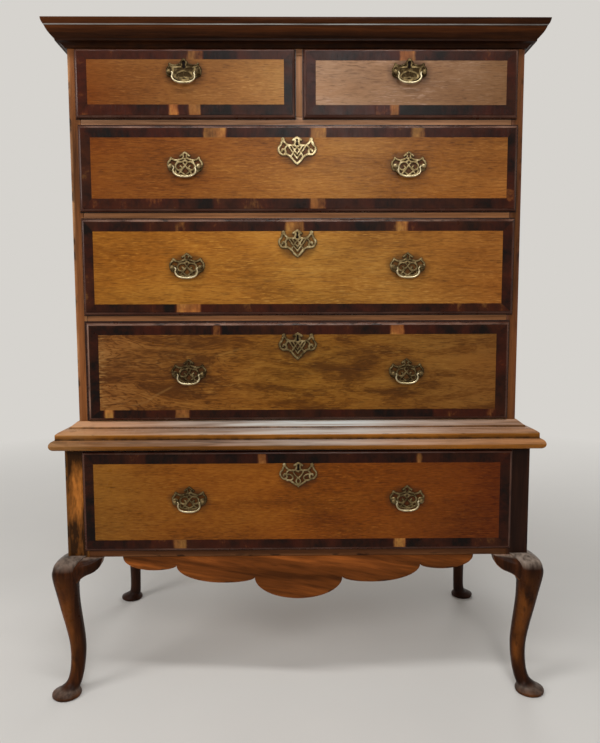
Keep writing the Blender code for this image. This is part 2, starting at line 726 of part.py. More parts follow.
def add_apron(shop):
    """The lobed apron under the front rail, drawn from its right end to its left."""
    top = LEG_HEIGHT
    half = post_inner - BRACKET_REACH - APRON_MARGIN
    outer_cusp = half * OUTER_CUSP_SHARE
    inner_cusp = half * INNER_CUSP_SHARE
    edge = [(half, top), (half, top - APRON_END)]
    edge += arc_through(edge[-1], ((half + outer_cusp) / 2, top - OUTER_LOBE), (outer_cusp, top - OUTER_CUSP))
    edge += arc_through(edge[-1], (half * MIDDLE_LOBE_SHARE, top - MIDDLE_LOBE), (inner_cusp, top - INNER_CUSP))
    edge += arc_through(edge[-1], (0.0, top - CENTRE_LOBE), (-inner_cusp, top - INNER_CUSP))[:ARC_STEPS]
    outline = edge + [(-across, up) for across, up in reversed(edge[:-1])]
    place = (0.0, stand_front + STAND_BOARD / 2, 0.0)
    shop.add_piece("front_apron", outline_curve("front_apron", outline, STAND_BOARD), "walnut_leg",
                   place, FACING_FRONT)


def drawer_specs():
    """Name, centre, opening, face plane, back and fittings of each drawer, from the top down."""
    long_half = HANDLE_SPACING / 2
    case_end = boards_front - BACK_SPACE
    stand_end = stand_boards_front - BACK_SPACE
    short_width = case_inner - MUNTIN_WIDTH / 2
    short_centre = (case_inner + MUNTIN_WIDTH / 2) / 2
    rows = [
        ("short_left", -short_centre, short_width, short_sill, SHORT_FRONT, SHORT_HANDLE_RISE),
        ("short_right", short_centre, short_width, short_sill, SHORT_FRONT, SHORT_HANDLE_RISE),
        ("upper_long", 0.0, 2 * case_inner, upper_sill, UPPER_FRONT, UPPER_HANDLE_RISE),
        ("middle_long", 0.0, 2 * case_inner, middle_sill, MIDDLE_FRONT, MIDDLE_HANDLE_RISE),
        ("lower_long", 0.0, 2 * case_inner, lower_sill, LOWER_FRONT, LOWER_HANDLE_RISE),
        ("stand", 0.0, 2 * post_inner, stand_sill, STAND_FRONT, STAND_HANDLE_RISE),
    ]
    specs = []
    for name, centre, width, sill, height, handle_rise in rows:
        short = name.startswith("short")
        in_stand = name == "stand"
        specs.append({
            "name": name, "centre": centre, "width": width, "sill": sill, "height": height,
            "plane": stand_front if in_stand else case_front, "end": stand_end if in_stand else case_end,
            "handles": {"": 0.0} if short else {"_left": -long_half, "_right": long_half},
            "handle_height": sill - LIP + handle_rise, "keyed_handle": short,
            "escutcheon": None if short else ("oval" if in_stand else "pointed"),
        })
    return specs


def front_mesh(name, width, height):
    """A lipped drawer front about the centre of its back lip, with a tongue that enters the opening."""
    thickness = FRONT_PROUD - SEAT_GAP
    mesh = box_mesh(name, (width, thickness, height))
    shape = bmesh.new()
    shape.from_mesh(mesh)
    shape.faces.ensure_lookup_table()
    back = max(shape.faces, key=lambda face: face.calc_center_median().y)
    front = min(shape.faces, key=lambda face: face.calc_center_median().y)
    bmesh.ops.bevel(shape, geom=list(front.edges), offset=FRONT_ROUND, segments=ROUND_STEPS, profile=0.5,
                    affect="EDGES")
    bmesh.ops.inset_region(shape, faces=[back], thickness=LIP + DRAWER_PLAY, use_even_offset=True)
    grown = bmesh.ops.extrude_face_region(shape, geom=[back])
    moved = [item for item in grown["geom"] if isinstance(item, bmesh.types.BMVert)]
    bmesh.ops.translate(shape, vec=(0.0, FRONT_TONGUE + SEAT_GAP, 0.0), verts=moved)
    bmesh.ops.delete(shape, geom=[back], context="FACES_ONLY")
    bmesh.ops.recalc_face_normals(shape, faces=shape.faces)
    shape.to_mesh(mesh)
    shape.free()
    return mesh


def add_drawer(shop, spec, brass):
    """A drawer on its slide: front, box, handles and escutcheon."""
    name = spec["name"]
    front_bottom = spec["sill"] - LIP
    front_middle = front_bottom + spec["height"] / 2
    face = spec["plane"] - FRONT_PROUD
    slide = shop.add_empty(f"{name}_slide", (spec["centre"], spec["plane"], front_middle), shop.root)
    lip_centre = (face + spec["plane"] - SEAT_GAP) / 2
    shape = front_mesh(f"{name}_drawer_front", spec["width"] + 2 * LIP, spec["height"])
    shop.add_piece(f"{name}_drawer_front", shape, "oak_front", (spec["centre"], lip_centre, front_middle),
                   parent=slide)
    add_drawer_box(shop, spec, slide)
    for side, offset in spec["handles"].items():
        add_handle(shop, f"{name}{side}", brass, spec["centre"] + offset, face, spec, slide)
    if spec["escutcheon"]:
        mesh = brass[spec["escutcheon"]]
        top = front_bottom + spec["height"] - ESCUTCHEON_DROP
        height = top - ESCUTCHEON_CREST[0][1]
        place = (spec["centre"], face - SEAT_GAP - PLATE_THICKNESS / 2, height)
        shop.add_piece(f"{name}_escutcheon", mesh, "brass_plate", place, FACING_FRONT, slide)


def add_drawer_box(shop, spec, slide):
    """Sides, back and bottom of a drawer in one piece, open at the top and against the front."""
    name = f"{spec['name']}_drawer_box"
    half = spec["width"] / 2 - DRAWER_PLAY
    left, right = spec["centre"] - half, spec["centre"] + half
    front = spec["plane"] + FRONT_TONGUE + SEAT_GAP
    back = spec["end"]
    bottom = spec["sill"] + SEAT_GAP
    top = spec["sill"] + spec["height"] - 2 * LIP - HEADROOM
    floor = bottom + BOTTOM_RECESS
    past = DRAWER_WALL
    box = add_board(shop, name, (left, front, bottom), (right, back, top), "oak_lining", slide)
    hollow = add_box_cutter(shop, f"{name}_hollow", (left + DRAWER_WALL, front - past, floor + DRAWER_BOTTOM),
                            (right - DRAWER_WALL, back - DRAWER_WALL, top + past))
    recess = add_box_cutter(shop, f"{name}_recess", (left + DRAWER_WALL, front - past, bottom - past),
                            (right - DRAWER_WALL, back + past, floor))
    add_boolean(box, hollow, "DIFFERENCE")
    add_boolean(box, recess, "DIFFERENCE")


def add_handle(shop, name, brass, across, face, spec, slide):
    """A back plate with its two posts, and the bail that swings between them."""
    height = spec["handle_height"]
    plate = brass["keyed_plate" if spec["keyed_handle"] else "plate"]
    place = (across, face - SEAT_GAP - PLATE_THICKNESS / 2, height)
    shop.add_piece(f"{name}_handle_plate", plate, "brass_plate", place, FACING_FRONT, slide)
    hinge = (across, face - HINGE_STANDOFF, height)
    shop.add_piece(f"{name}_handle_bail", brass["bail"], "brass_bail", hinge, FACING_FRONT, slide)


def whole_outline(half):
    """Mirrors a half outline that starts and ends on the centre line."""
    return list(half) + [(-across, up, corner) for across, up, corner in reversed(half[1:-1])]


def oval(across, up, half_width, half_height):
    """Points round an oval. It starts off the level, so that no two points of it have the same height."""
    points = []
    for index in range(PIERCING_SIDES):
        angle = 2 * math.pi * (index + OVAL_START) / PIERCING_SIDES
        points.append((across + half_width * math.cos(angle), up + half_height * math.sin(angle)))
    return points


def keyhole(top):
    """A round eye with a straight slot under it."""
    meeting = math.asin(KEYHOLE_SLOT / KEYHOLE_RADIUS)
    points = [(-KEYHOLE_SLOT, top - KEYHOLE_LENGTH), (KEYHOLE_SLOT, top - KEYHOLE_LENGTH)]
    for index in range(PIERCING_SIDES):
        share = index / (PIERCING_SIDES - 1)
        angle = -math.pi / 2 + meeting + share * (2 * math.pi - 2 * meeting)
        points.append((KEYHOLE_RADIUS * math.cos(angle), top + KEYHOLE_RADIUS * math.sin(angle)))
    return points


def pierced_plate(shop, name, half, pairs, centred):
    """A flat brass plate with piercings in mirrored pairs and others on the centre line."""
    curve = flat_curve(name, PLATE_THICKNESS)
    smooth_spline(curve, whole_outline(half))
    for across, up, half_width, half_height in pairs:
        for side in (-1, 1):
            poly_spline(curve, oval(side * across, up, half_width, half_height))
    for points in centred:
        poly_spline(curve, points)
    return mesh_from_curve(shop, curve)


def turned_mesh(shop, name, profile):
    """A solid of revolution about Z. The profile runs from the top down its outer side, ends on the axis."""
    mesh = bpy.data.meshes.new(name)
    edges = [(index, index + 1) for index in range(len(profile) - 1)]
    mesh.from_pydata([(radius, 0.0, height) for radius, height in profile], edges, [])
    guide = shop.add_guide(name, mesh)
    screw = guide.modifiers.new("turn", "SCREW")
    screw.steps = screw.render_steps = TURNED_SIDES
    screw.use_merge_vertices = True
    screw.merge_threshold = WELD
    turned = finished_mesh(guide)
    bpy.data.objects.remove(guide)
    return turned


def handle_plate(shop, name, centred):
    """A pierced plate with two turned posts, bored through for the ends of the bail. Its front is +Z."""
    plate = pierced_plate(shop, name, HANDLE_OUTLINE, HANDLE_PIERCINGS, centred)
    axis = HINGE_STANDOFF - SEAT_GAP - PLATE_THICKNESS / 2
    profile = [(POST_HEAD * radius, axis + POST_HEAD * height) for radius, height in POST_HEAD_PROFILE]
    profile += [(POST_NECK, axis - POST_HEAD), (POST_NECK, 0.0), (0.0, 0.0)]
    post = turned_mesh(shop, "handle_post", profile)
    bore = bpy.data.meshes.new("bail_bore")
    shape = bmesh.new()
    reach = POST_SPACING + 4 * POST_HEAD
    bmesh.ops.create_cone(shape, cap_ends=True, segments=TURNED_SIDES, radius1=BAIL_WIRE + PIN_PLAY,
                          radius2=BAIL_WIRE + PIN_PLAY, depth=reach)
    shape.to_mesh(bore)
    shape.free()
    still = (0.0, 0.0, 0.0)
    posts = [(post, (side * POST_SPACING / 2, 0.0, 0.0), still) for side in (-1, 1)]
    bores = [(bore, (0.0, 0.0, axis), (0.0, math.pi / 2, 0.0))]
    return joined_mesh(shop, name, plate, posts, bores)


def bail_mesh(shop):
    """The swan-necked bail about its hinge: from the axis in each post it bends down to a rounded bar."""
    end = POST_SPACING / 2 + POST_HEAD / 2
    bend = POST_SPACING / 2 - POST_HEAD - BAIL_SHOULDER
    half = [(end, 0.0)]
    half += [(bend + BAIL_WIRE * across, -BAIL_WIRE * drop) for across, drop in BAIL_ELBOW]
    half += [(bend * across, -BAIL_DROP * drop) for across, drop in BAIL_PATH]
    curve = bpy.data.curves.new("bail", "CURVE")
    curve.dimensions = "3D"
    poly_spline(curve, half + [(-across, up) for across, up in reversed(half[:-1])], closed=False)
    curve.bevel_depth = BAIL_WIRE
    curve.bevel_resolution = 1
    curve.use_fill_caps = True
    mesh = mesh_from_curve(shop, curve)
    mesh.shade_smooth()
    mesh.set_sharp_from_angle(angle=SMOOTH_ANGLE)
    return mesh


def make_brass(shop):
    """The brass shapes that the drawers share."""
    eye = keyhole(ESCUTCHEON_KEYHOLE_TOP)
    return {
        "plate": handle_plate(shop, "handle_plate", [oval(*CREST_PIERCING)]),
        "keyed_plate": handle_plate(shop, "keyed_handle_plate", [keyhole(HANDLE_KEYHOLE_TOP)]),
        "bail": bail_mesh(shop),
        "pointed": pierced_plate(shop, "pointed_escutcheon", ESCUTCHEON_CREST + POINTED_FOOT,
                                 ESCUTCHEON_PIERCINGS, [eye]),
        "oval": pierced_plate(shop, "oval_escutcheon", ESCUTCHEON_CREST + OVAL_FOOT,
                              ESCUTCHEON_PIERCINGS, [eye]),
    }


def main():
    clear_scene()
    shop = Workshop()
    add_upper_case(shop)
    add_stand(shop)
    brass = make_brass(shop)
    for spec in drawer_specs():
        add_drawer(shop, spec, brass)


main()
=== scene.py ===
"""Chest on stand: oak drawers crossbanded in walnut, walnut mouldings and legs, pierced brass handles.

Laid out as an add-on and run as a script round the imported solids. Metres, +Z up, the front faces -Y.
"""
import math
from functools import partial

import bmesh
import bpy
import numpy as np
from mathutils import Matrix, Vector


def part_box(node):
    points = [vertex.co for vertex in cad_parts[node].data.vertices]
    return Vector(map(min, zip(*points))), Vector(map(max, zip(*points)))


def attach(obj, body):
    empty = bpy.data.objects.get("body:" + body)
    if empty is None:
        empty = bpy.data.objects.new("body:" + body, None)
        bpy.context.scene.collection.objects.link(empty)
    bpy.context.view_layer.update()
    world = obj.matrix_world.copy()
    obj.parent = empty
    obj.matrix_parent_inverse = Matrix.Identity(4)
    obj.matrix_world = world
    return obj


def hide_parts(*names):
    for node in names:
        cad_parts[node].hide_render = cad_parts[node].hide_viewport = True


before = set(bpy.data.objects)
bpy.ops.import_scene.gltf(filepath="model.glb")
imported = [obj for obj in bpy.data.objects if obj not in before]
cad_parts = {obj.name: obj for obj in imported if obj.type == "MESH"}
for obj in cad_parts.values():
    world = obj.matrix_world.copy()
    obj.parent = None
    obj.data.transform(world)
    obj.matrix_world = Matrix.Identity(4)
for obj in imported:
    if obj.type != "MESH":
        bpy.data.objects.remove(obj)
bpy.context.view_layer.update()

bl_info = {
    "name": "Chest on Stand",
    "version": (1, 0, 0),
    "blender": (4, 5, 0),
    "location": "3D View > Sidebar > Chest",
    "description": "Makes the shaped woodwork and brass of a chest on stand over its plain solids",
    "category": "Object",
}

X, Y, Z = 0, 1, 2
MM = 0.001
QUARTER_TURN, WHOLE_TURN = math.pi / 2, 2 * math.pi
SEAT = 0.0003             # gap between two pieces that touch
WELD = 4e-6               # points nearer than this become one

BOARD_SPAN = 0.12         # longest span of a board's mesh
WORN_FLAT = 0.006         # flat beside an edge over which its wear fades
INNER_EDGE = 0.0008       # radius of the edges inside the case
RAIL_DEPTH = 0.070        # of the dividers' front rails, from front to back
MUNTIN_DEPTH = 0.040
OVERLAP = 0.0005          # how far the boards behind run into rails and muntin
DUST_BOARD = 0.012        # thickness of the dust boards
PARTITION = 0.014         # thickness of the wall behind the muntin
# Half of the section of a board with a shaped lower edge: share of the way down, depth behind the face, lift
# over the lower edge, wear
SHAPED_SECTION = (
    (0, 0, 0, 0), (0.5, 0, 0, 0), (1, 0, 0.006, 0), (1, 0, 0.0018, 1), (1, 0.0005, 0.0005, 1),
    (1, 0.0018, 0, 1),
)
SIDE_DROP = 0.040         # how far the lower edge of the stand's sides hangs down in the middle
SIDE_LEVEL = 0.080        # level length of that edge at either end

# Light pieces in the crossband along the top and the bottom of each drawer: where they start and end along X
LIGHT_PIECES = {
    "short_left": (((-0.237, -0.204),), ((-0.280, -0.259), (-0.237, -0.2085))),
    "short_right": (((0.225, 0.258),), ((0.205, 0.223),)),
    "upper_long": (((-0.206, -0.155), (0.028, 0.063), (0.252, 0.281)), ((0.028, 0.065),)),
    "middle_long": (((-0.027, 0.015), (0.221, 0.245)), ((-0.2725, -0.217),)),
    "lower_long": (((-0.192, -0.172), (0.209, 0.2405)), ((-0.440, -0.418), (-0.280, -0.246))),
    "stand": (((-0.091, -0.071), (0.267, 0.278)), ((-0.2835, -0.256), (0.217, 0.246))),
}
DRAWERS = tuple(LIGHT_PIECES)
LONG_DRAWERS = DRAWERS[2:]
PIECE_LENGTHS = (0.050, 0.140)                 # shortest and longest of the other pieces
MOST_PIECES = 60                               # lengths drawn for one side, more than it needs
END_PIECE = 0.028                              # shortest piece at an end
LIGHT_MARGIN = 0.016                           # how near other joints come to a light piece
JOINT_BLUR = 0.0036                            # half the length over which the tone changes at a joint
BAND_TONES = (0.22, 0.10)                      # mean and spread of the tones
TONE_LIMITS = (0.03, 0.34)
LIGHT_TONES = (0.60, 0.76)                     # of the light pieces
BAND_MARGIN = 0.002                            # from the inner corners of the band to its first cut
FIRST_SEED = 20                                # of the first drawer's chance; each further drawer adds one

# Each front at its left, right, lower and upper edge, in millimetres: how far it lies outside its solid,
# the width of its band, and how far the dark flange round it reaches, a painted shadow of the gap round the
# drawer
FRONT_EDGES = {
    "short_left": ((4.0, 7.3, 0, 8.5), (21.5, 19.0, 22.5, 18.5), (1.8, 1.8, 1.8, 1.0)),
    "short_right": ((-3.3, 5.0, 0, 8.5), (21.5, 20.0, 21.5, 20.5), (2.4, 1.8, 1.8, 1.0)),
    "upper_long": ((1.0, 8.0, 0, 6.5), (21.5, 17.5, 22.5, 21.0), (1.8, 2.2, 1.8, 3.0)),
    "middle_long": ((0, 6.0, 0, 5.5), (20.0, 21.0, 18.5, 21.5), (1.8, 2.0, 1.8, 3.0)),
    "lower_long": ((-3.5, 0, 0, 4.0), (21.5, 24.0, 18.2, 21.3), (5.5, 2.6, 1.0, 4.6)),
    "stand": ((4.0, 3.0, 0, 5.5), (20.0, 22.8, 20.6, 21.7), (1.8, 2.0, 1.8, 2.2)),
}
# A lip is lighter over its round: a little use, mostly a painted highlight
LIP_WEAR_AND_HIGHLIGHT = (1.0, 1.0, 0.8, 0.7, 0.8, 0.9)      # over the round of a lip, from the face to the edge
LIP_START, LIP_ROUND = 0.0012, 0.0058          # depth where that round starts, and its own
TONGUE = 0.0055                                # how far the tongue behind the lip is drawn in
# How light the lower, right, upper and left lip of each front are: a little use, mostly a painted
# highlight along the lips that face the light
LIP_SIDE_HIGHLIGHTS = {
    "short_left": (0.25, 0.35, 0.35, 0.20), "short_right": (0.25, 0.30, 0.45, 0.30),
    "upper_long": (0.25, 0.35, 1.0, 0.20), "middle_long": (0.25, 0.35, 1.0, 0.30),
    "lower_long": (0.25, 0.35, 1.0, 1.0), "stand": (0.35, 0.50, 0.30, 0.30),
}

# Mouldings, from the bottom up: how far each member runs outwards and rises and the swell of its arc, in
# millimetres, then how pale it is, a painted sheen, and how dark it is, partly dirt and partly painted shade
# under the cornice and between the members
CORNICE_MEMBERS = (
    (3.0, 0, 0, 0, 0.95), (14.5, 9.5, -1.8, 0, 0.85), (1.5, 0, 0, 0, 0.9), (0, 4.5, 0, 0, 0.55),
    (9.735, 8.896, 0.55, 0, 0.38), (6.265, 11.604, 0.55, 0, 0), (0.6, 0.6, 0, 0, 0.6), (1.4, 1.9, 0, 0.9, 0),
    (4.0, 12.5, 1.0, 0, 0.25),
)
WAIST_MEMBERS = (
    (15.0, 0, 0, 0, 0.85), (11.5, 11.5, 3.37, 0, 0.14), (-11.5, 11.5, 3.37, 0.45, 0), (0, 12.5, 0, 0, 0.16),
    (-23.5, 10.0, 2.0, 0.75, 0), (-2.0, 3.0, 0, 0, 0.9), (-14.5, 12.0, 0, 1.0, 0),
)
CORNICE_LIFT = 0.0085     # of its lower edge above that of its solid
CORNICE_WORN_AND_LIT = 0.041      # height above the solid's lower edge from which its arrises are lighter, from use and a painted highlight
WORN_AND_LIT_RISE = 0.002         # height over which that starts
SIDE_SPANS, FRONT_SPANS = 6, 30                # spans of a moulding's mesh
SHEEN_MIDDLE, SHEEN_REACH = 0.05, 0.27         # where along X pale members are palest, and how far that fades
RUBBED_FROM, RUBBED_TO = -0.43, -0.50          # where along X the left end starts to be rubbed, and is fully

# Stations of the legs: share of the height above the pad, width and throw outwards in millimetres, squareness
CABRIOLE = (
    (0.07, 32.5, 17.5, 2.1), (0.31, 35.0, 12.3, 2.3), (0.66, 44.7, 24.3, 2.5), (0.86, 56.0, 29.5, 2.6),
    (0.925, 56.5, 28.2, 2.7), (0.965, 55.2, 24.0, 2.9), (0.990, 52.2, 16.5, 3.4), (1.004, 48.0, 8.0, 4.5),
    (1.012, 45.0, 1.0, 8.0),
)
STRAIGHT_LEG = ((0.07, 30.0, 0, 2.0), (0.50, 36.0, 0, 2.0), (1.012, 45.0, 0, 8.0))
CIRCLE = 2.0              # squareness of a round section
POST = 0.049
LEG_HEIGHT = 0.326
PAD_HEIGHT = 0.015
PAD_ROUND = 0.004
CABRIOLE_PAD = (0.065, 0.0312)                 # width and throw of the pads
STRAIGHT_PAD = (0.062, 0.0100)
FOOT_SPLAY = 0.16         # further share of their throw by which feet stand out to the side
STREAK_TURN = 0.42        # how far the light streak, a painted highlight on the side towards the light, lies from the front of a leg, round it
# Heights on a leg where something starts and is full: the splay of the foot, the foot and the top of the
# streak of painted highlight, the painted sheen of the knee
SPLAYED = (0.05, 0.02)
STREAK_FOOT, STREAK_TOP = (0.03, 0.08), (0.30, 0.25)
KNEE_SHINE = (0.300, 0.318)
# Heights on a leg where something is strongest, and how far it fades: painted sheen and wear of the pad,
# dirt over it
PAD_SHINE, PAD_WEAR, PAD_GRIME = (0.013, 0.005), (0.005, 0.004), (0.022, 0.008)
PAD_RIM = ((0.0068, 0.0), (0.0082, 0.0012))    # height and loss of width over the round of a pad
SHOULDER = 0.38           # share of the pad's width in that of the shoulder over it

BRACKET_ROOT = -0.0148    # where a knee bracket starts, inside the post
BRACKET_REACH = 0.0287    # how far it reaches past the post
BRACKET_DROP = 0.062
BRACKET_THICKNESS = 0.021
BRACKET_SWELL = 0.024     # how far its face bulges by the leg
BRACKET_PROUD = 0.002     # how far it stands in front of the post
BRACKET_EDGE = ((0.0012, 0.0012), (0.004, 0.0016))      # points round its lower edge, back and down
# Its depth over the share of its reach, and the bulge of its face over the share of its depth
BRACKET_DEPTHS = (
    (0.0, 1.0), (0.196, 0.86), (0.30, 0.74), (0.40, 0.66), (0.50, 0.605), (0.72, 0.513), (0.888, 0.365),
    (0.96, 0.21), (1.0, 0.03),
)
BRACKET_FACE = ((0.0, 0.0), (0.14, 0.62), (0.4, 1.0), (0.75, 0.88), (1.0, 0.6))
BRACKET_SHEEN = (1.0, 1.0, 0.8, 0.3)           # from the top of its face down

# Right half of the apron's lower edge: lobes as (start, lowest point, end), x and depth under the rail
APRON_LOBES = (
    ((0.402, 0.002), (0.3330, 0.0330), (0.2806, 0.022)),
    ((0.2806, 0.022), (0.1711, 0.0635), (0.1011, 0.051)),
    ((0.1011, 0.051), (0.0, 0.102), (0.0, 0.102)),
)

# Right halves of the pierced brass, in millimetres about the line of the posts: half width of each strap and
# the points that it runs through, then solid rounds as (x, z, radius)
HANDLE_STRAPS = (
    (1.9, ((0, 31.4), (5, 27.4), (9.6, 23.8))),
    (1.6, ((4.4, 26.6), (3.4, 21.6), (6.5, 17.6), (13, 15.2))),
    (1.5, ((0, 18.6), (2.4, 17.6), (5.2, 18.4))),
    (1.9, ((6.5, 17.6), (14, 15), (20, 14.2), (26, 16), (30.5, 19.6))),
    (1.9, ((30.5, 19.6), (32.6, 14.4), (35.4, 11.4), (37.2, 7.4), (36.6, 1.2), (34.4, -4.4), (30.4, -7),
           (26.4, -7.8))),
    (1.9, ((1.2, 13.4), (7, 10.6), (13, 10.4), (18.6, 7.4), (21.4, 1.6), (19.4, -4), (14.2, -6.6), (9, -5),
           (7.6, -1.2), (10.2, 1.4))),
    (1.7, ((0, 15), (4.4, 9.2), (0, 3.6))),
    (1.8, ((0, 3.6), (5, -3.2), (9.4, -8.6), (13.4, -13.4))),
    (1.7, ((14.2, -6.6), (7.4, -12), (0, -17.4))),
    (1.9, ((26.4, -7.8), (23.4, -11.8), (18.6, -14.8), (12, -17.4), (5.4, -18.8), (0, -19.4))),
    (1.6, ((19.4, -4), (21.2, -8.4), (20, -13.6))),
    (1.6, ((14, 15), (17, 12.4), (18.6, 7.4))),
)
HANDLE_ROUNDS = ((9.8, 23.6, 2.5), (30.8, 19.6, 2.4), (31, 0, 7.0), (37.2, 7.4, 2.2), (0, 32, 1.6))
KEYED_STRAPS = (
    (2.0, ((6.5, 21.5), (12, 18.2), (20, 16.4), (26, 17.2), (30.5, 19.6))),
    (3.4, ((6, 13), (13, 12.6), (21, 12), (28, 14))),
    (2.6, ((29, 17), (32.6, 13.4), (35, 9.4), (35.4, 3), (33.4, -3), (29, -6), (24, -8.4))),
    (4.2, ((24, 9), (23.4, 0), (19, -8), (11, -13), (0, -15.4))),
    (3.4, ((0, 5), (8, 3), (15, 0), (18, -4))),
    (3.4, ((0, -8), (6, -10), (12, -9.4))),
    (2.0, ((0, 2), (0, -8))),
)
KEYED_ROUNDS = (
    (0, 27, 5.0), (0, 20, 9.4), (0, 10, 12.0), (12, 7, 9.4), (12, -5, 10.5), (0, -7, 12.0), (22, 3, 9.0),
    (31, 0, 7.2), (26, 10, 7.0), (34, 8, 4.6), (30.8, 19.6, 2.8), (28, 15.6, 3.6),
)
KEYED_RAISED = ((0, 20, 7.4), (0, 27, 4.6), (31, 0, 6.0), (30.8, 19.6, 2.4))
POINTED_STRAPS = (
    (1.9, ((0, 30.4), (4.6, 27.4), (8.6, 24.8))),
    (1.7, ((4.4, 27), (4.0, 20), (5.4, 13.4), (0, 9.4))),
    (1.7, ((5.4, 13.4), (12, 12.6), (20, 13.4), (26, 18), (29.6, 23.6))),
    (1.8, ((29.6, 23.6), (34.2, 19.6), (35.4, 14.6), (40.6, 7.6), (40.4, 0.6), (35.6, -6.2), (29, -8),
           (25.4, -3), (27.4, 2.8), (32, 3.4), (33.4, 0))),
    (1.6, ((20, 13.4), (24.6, 9.4), (27.4, 2.8))),
    (1.8, ((29, -8), (21, -8.4), (14, -13.4), (7, -22.6), (0, -29.6))),
    (1.4, ((12, 12.6), (4, -1), (0, -7), (-4, -13), (-8.6, -20))),
    (1.4, ((20, 13.4), (12.6, 1.4), (5, -9.6), (0, -17))),
    (1.4, ((0, 9.4), (6, 0), (14, -13.4))),
)
POINTED_ROUNDS = ((8.8, 24.6, 2.2), (31.2, 26, 5.0), (0, -29.6, 2.0), (0, 30.8, 1.8))
OVAL_STRAPS = POINTED_STRAPS[:5] + (
    (1.8, ((29, -8), (24, -11.4), (18, -12), (12, -17.4), (6, -21.8), (0, -24))),
    (1.5, ((12, 12.6), (9, 4), (3.6, -3), (0, -6))),
    (1.5, ((0, -6), (4.4, -11), (4.2, -17), (0, -21))),
    (1.5, ((27.4, 2.8), (19, 2.4), (12.6, -2.6), (13.4, -9), (18, -12))),
)
OVAL_ROUNDS = ((8.8, 24.6, 2.2), (31.2, 26, 4.4), (0, -26.4, 2.6), (0, 30.8, 1.8))
KEYHOLE = ((22.4, 3.3), (12.6, 2.7))           # height and radius of its eye and of its foot
KEYHOLE_NECK = 1.9
POST_SPREAD = 31                               # from the middle of a handle to either post
PLATE_SIDES = (-47, 47)                        # ground that brass is cut from, across and up
PLATE_ENDS = (-35, 36)
ESCUTCHEON_SQUASH = (0.95, 0.95, 0.93)
ESCUTCHEON_TOP = 0.0315                        # of the solid, above the line of the posts, in metres
PROBE = 0.05                                   # step over which the slope of a field is felt
FAR = 1e3                                      # a distance beyond every brass
PIN_RADIUS = 0.0019                            # of the solid bails, in metres
HOLE_DEPTH = 0.00028                           # of a keyhole's dark face behind the brass, in metres
# Path of a bail from its pin to its lowest point, x and z about the hinge, in millimetres
BAIL_PATH = (
    (33.8, 0), (30.0, 0), (27.2, -0.1), (24.54, -0.9), (23.4, -3.1), (24.6, -8.8), (23.1, -14.2),
    (17.8, -19.0), (9.8, -21.6), (0, -22.2),
)
BAIL_SWELL = 0.32                              # how much thicker it is at that point, as a share
# A handle post as it is turned: standoff from the drawer front and radius, in millimetres
POST_TURNING = (
    (2.1, 0), (2.1, 6.2), (3.0, 6.4), (3.8, 5.2), (4.4, 3.6), (6.0, 3.1), (6.6, 4.0), (7.2, 5.0), (8.0, 5.5),
    (10.5, 5.7), (12.6, 5.3), (14.0, 4.3), (15.0, 2.8), (15.6, 1.1), (15.8, 0),
)
# Darkness of the brass of each drawer, its handle plates and its escutcheon
PATINA = {
    "short_left": (0.95, 0.0), "short_right": (0.95, 0.0), "upper_long": (0.4, 0.08),
    "middle_long": (0.8, 0.5), "lower_long": (1.0, 0.8), "stand": (0.75, 0.3),
}

# Solid woods: the colour that they start from, factors for its dark, middle and light shade, the colour
# of worn places, which on the legs and lips is mostly a painted highlight, and settings of plain_wood
SIDE_LOOK = dict(contrast=0.14, wave=0.008, streaks=34.0, worn_share=0.85)
MOULDING_LOOK = dict(contrast=0.12, wave=0.008, streaks=42.0, worn_share=0.7, pale=(190, 192, 188))
POST_LOOK = dict(contrast=0.13, polish=(0.26, 0.42), wave=0.012, streaks=26.0)
# Pale colours are painted sheen: on rails and muntin, the mouldings' upper members, knees and pads
WOODS = {
    "case_walnut": ("case", (0.4, 1.0, 1.75), (190, 146, 112), dict(contrast=0.12, pale=(174, 134, 104))),
    "left_side_walnut": ("side", (0.27, 0.9, 1.44), (180, 132, 90), SIDE_LOOK),
    # A darker copy of the left side: painted shade on the side away from the light
    "right_side_walnut": ("side", (0.18, 0.6, 0.96), (104, 64, 46), SIDE_LOOK),
    "stand_side_walnut": ("side", (0.27, 0.9, 1.44), (176, 116, 66), SIDE_LOOK),
    "stand_rail_walnut": ("stand_rail", (0.4, 1.0, 1.6), (140, 92, 56), {}),
    "cornice_walnut": ("cornice", (0.3, 1.0, 1.9), (120, 70, 44),
                       dict(MOULDING_LOOK, polish=(0.28, 0.42), specular=0.06)),
    "waist_walnut": ("waist", (0.3, 1.0, 1.9), (200, 160, 112), dict(MOULDING_LOOK, polish=(0.20, 0.32))),
    "leg_walnut": ("leg", (0.2, 1.0, 3.0), (150, 86, 34),
                   dict(POST_LOOK, polish=(0.2, 0.36), specular=0.06, worn_share=0.75, pale=(158, 142, 128))),
    "figured_post_walnut": ("post", (0.14, 1.0, 2.1), (150, 96, 44),
                            dict(POST_LOOK, contrast=0.24, wave=0.030, streaks=30.0, worn_share=0.6,
                                 glow=(-0.505, 0.471, 0.085))),
    # A darker copy of the post wood for the right post, the back posts and the back legs: painted shade
    "dark_post_walnut": ("dark_post", (0.3, 1.0, 2.0), (96, 56, 30), POST_LOOK),
    "apron_walnut": ("apron", (0.4, 1.0, 2.3), (120, 74, 36),
                     dict(contrast=0.10, polish=(0.28, 0.44), wave=0.03, streaks=22.0, specular=0.06,
                          worn_share=0.2, slant=-0.16)),
    "lip_walnut": ("band_red", (0.35, 1.0, 1.3), (158, 122, 102),
                   dict(contrast=0.15, polish=(0.22, 0.36), specular=0.2, worn_share=0.5)),
    "lining_oak": ("lining", (0.6, 1.0, 1.35), (176, 146, 106),
                   dict(contrast=0.14, polish=(0.62, 0.8), streaks=34.0, specular=0.2)),
}
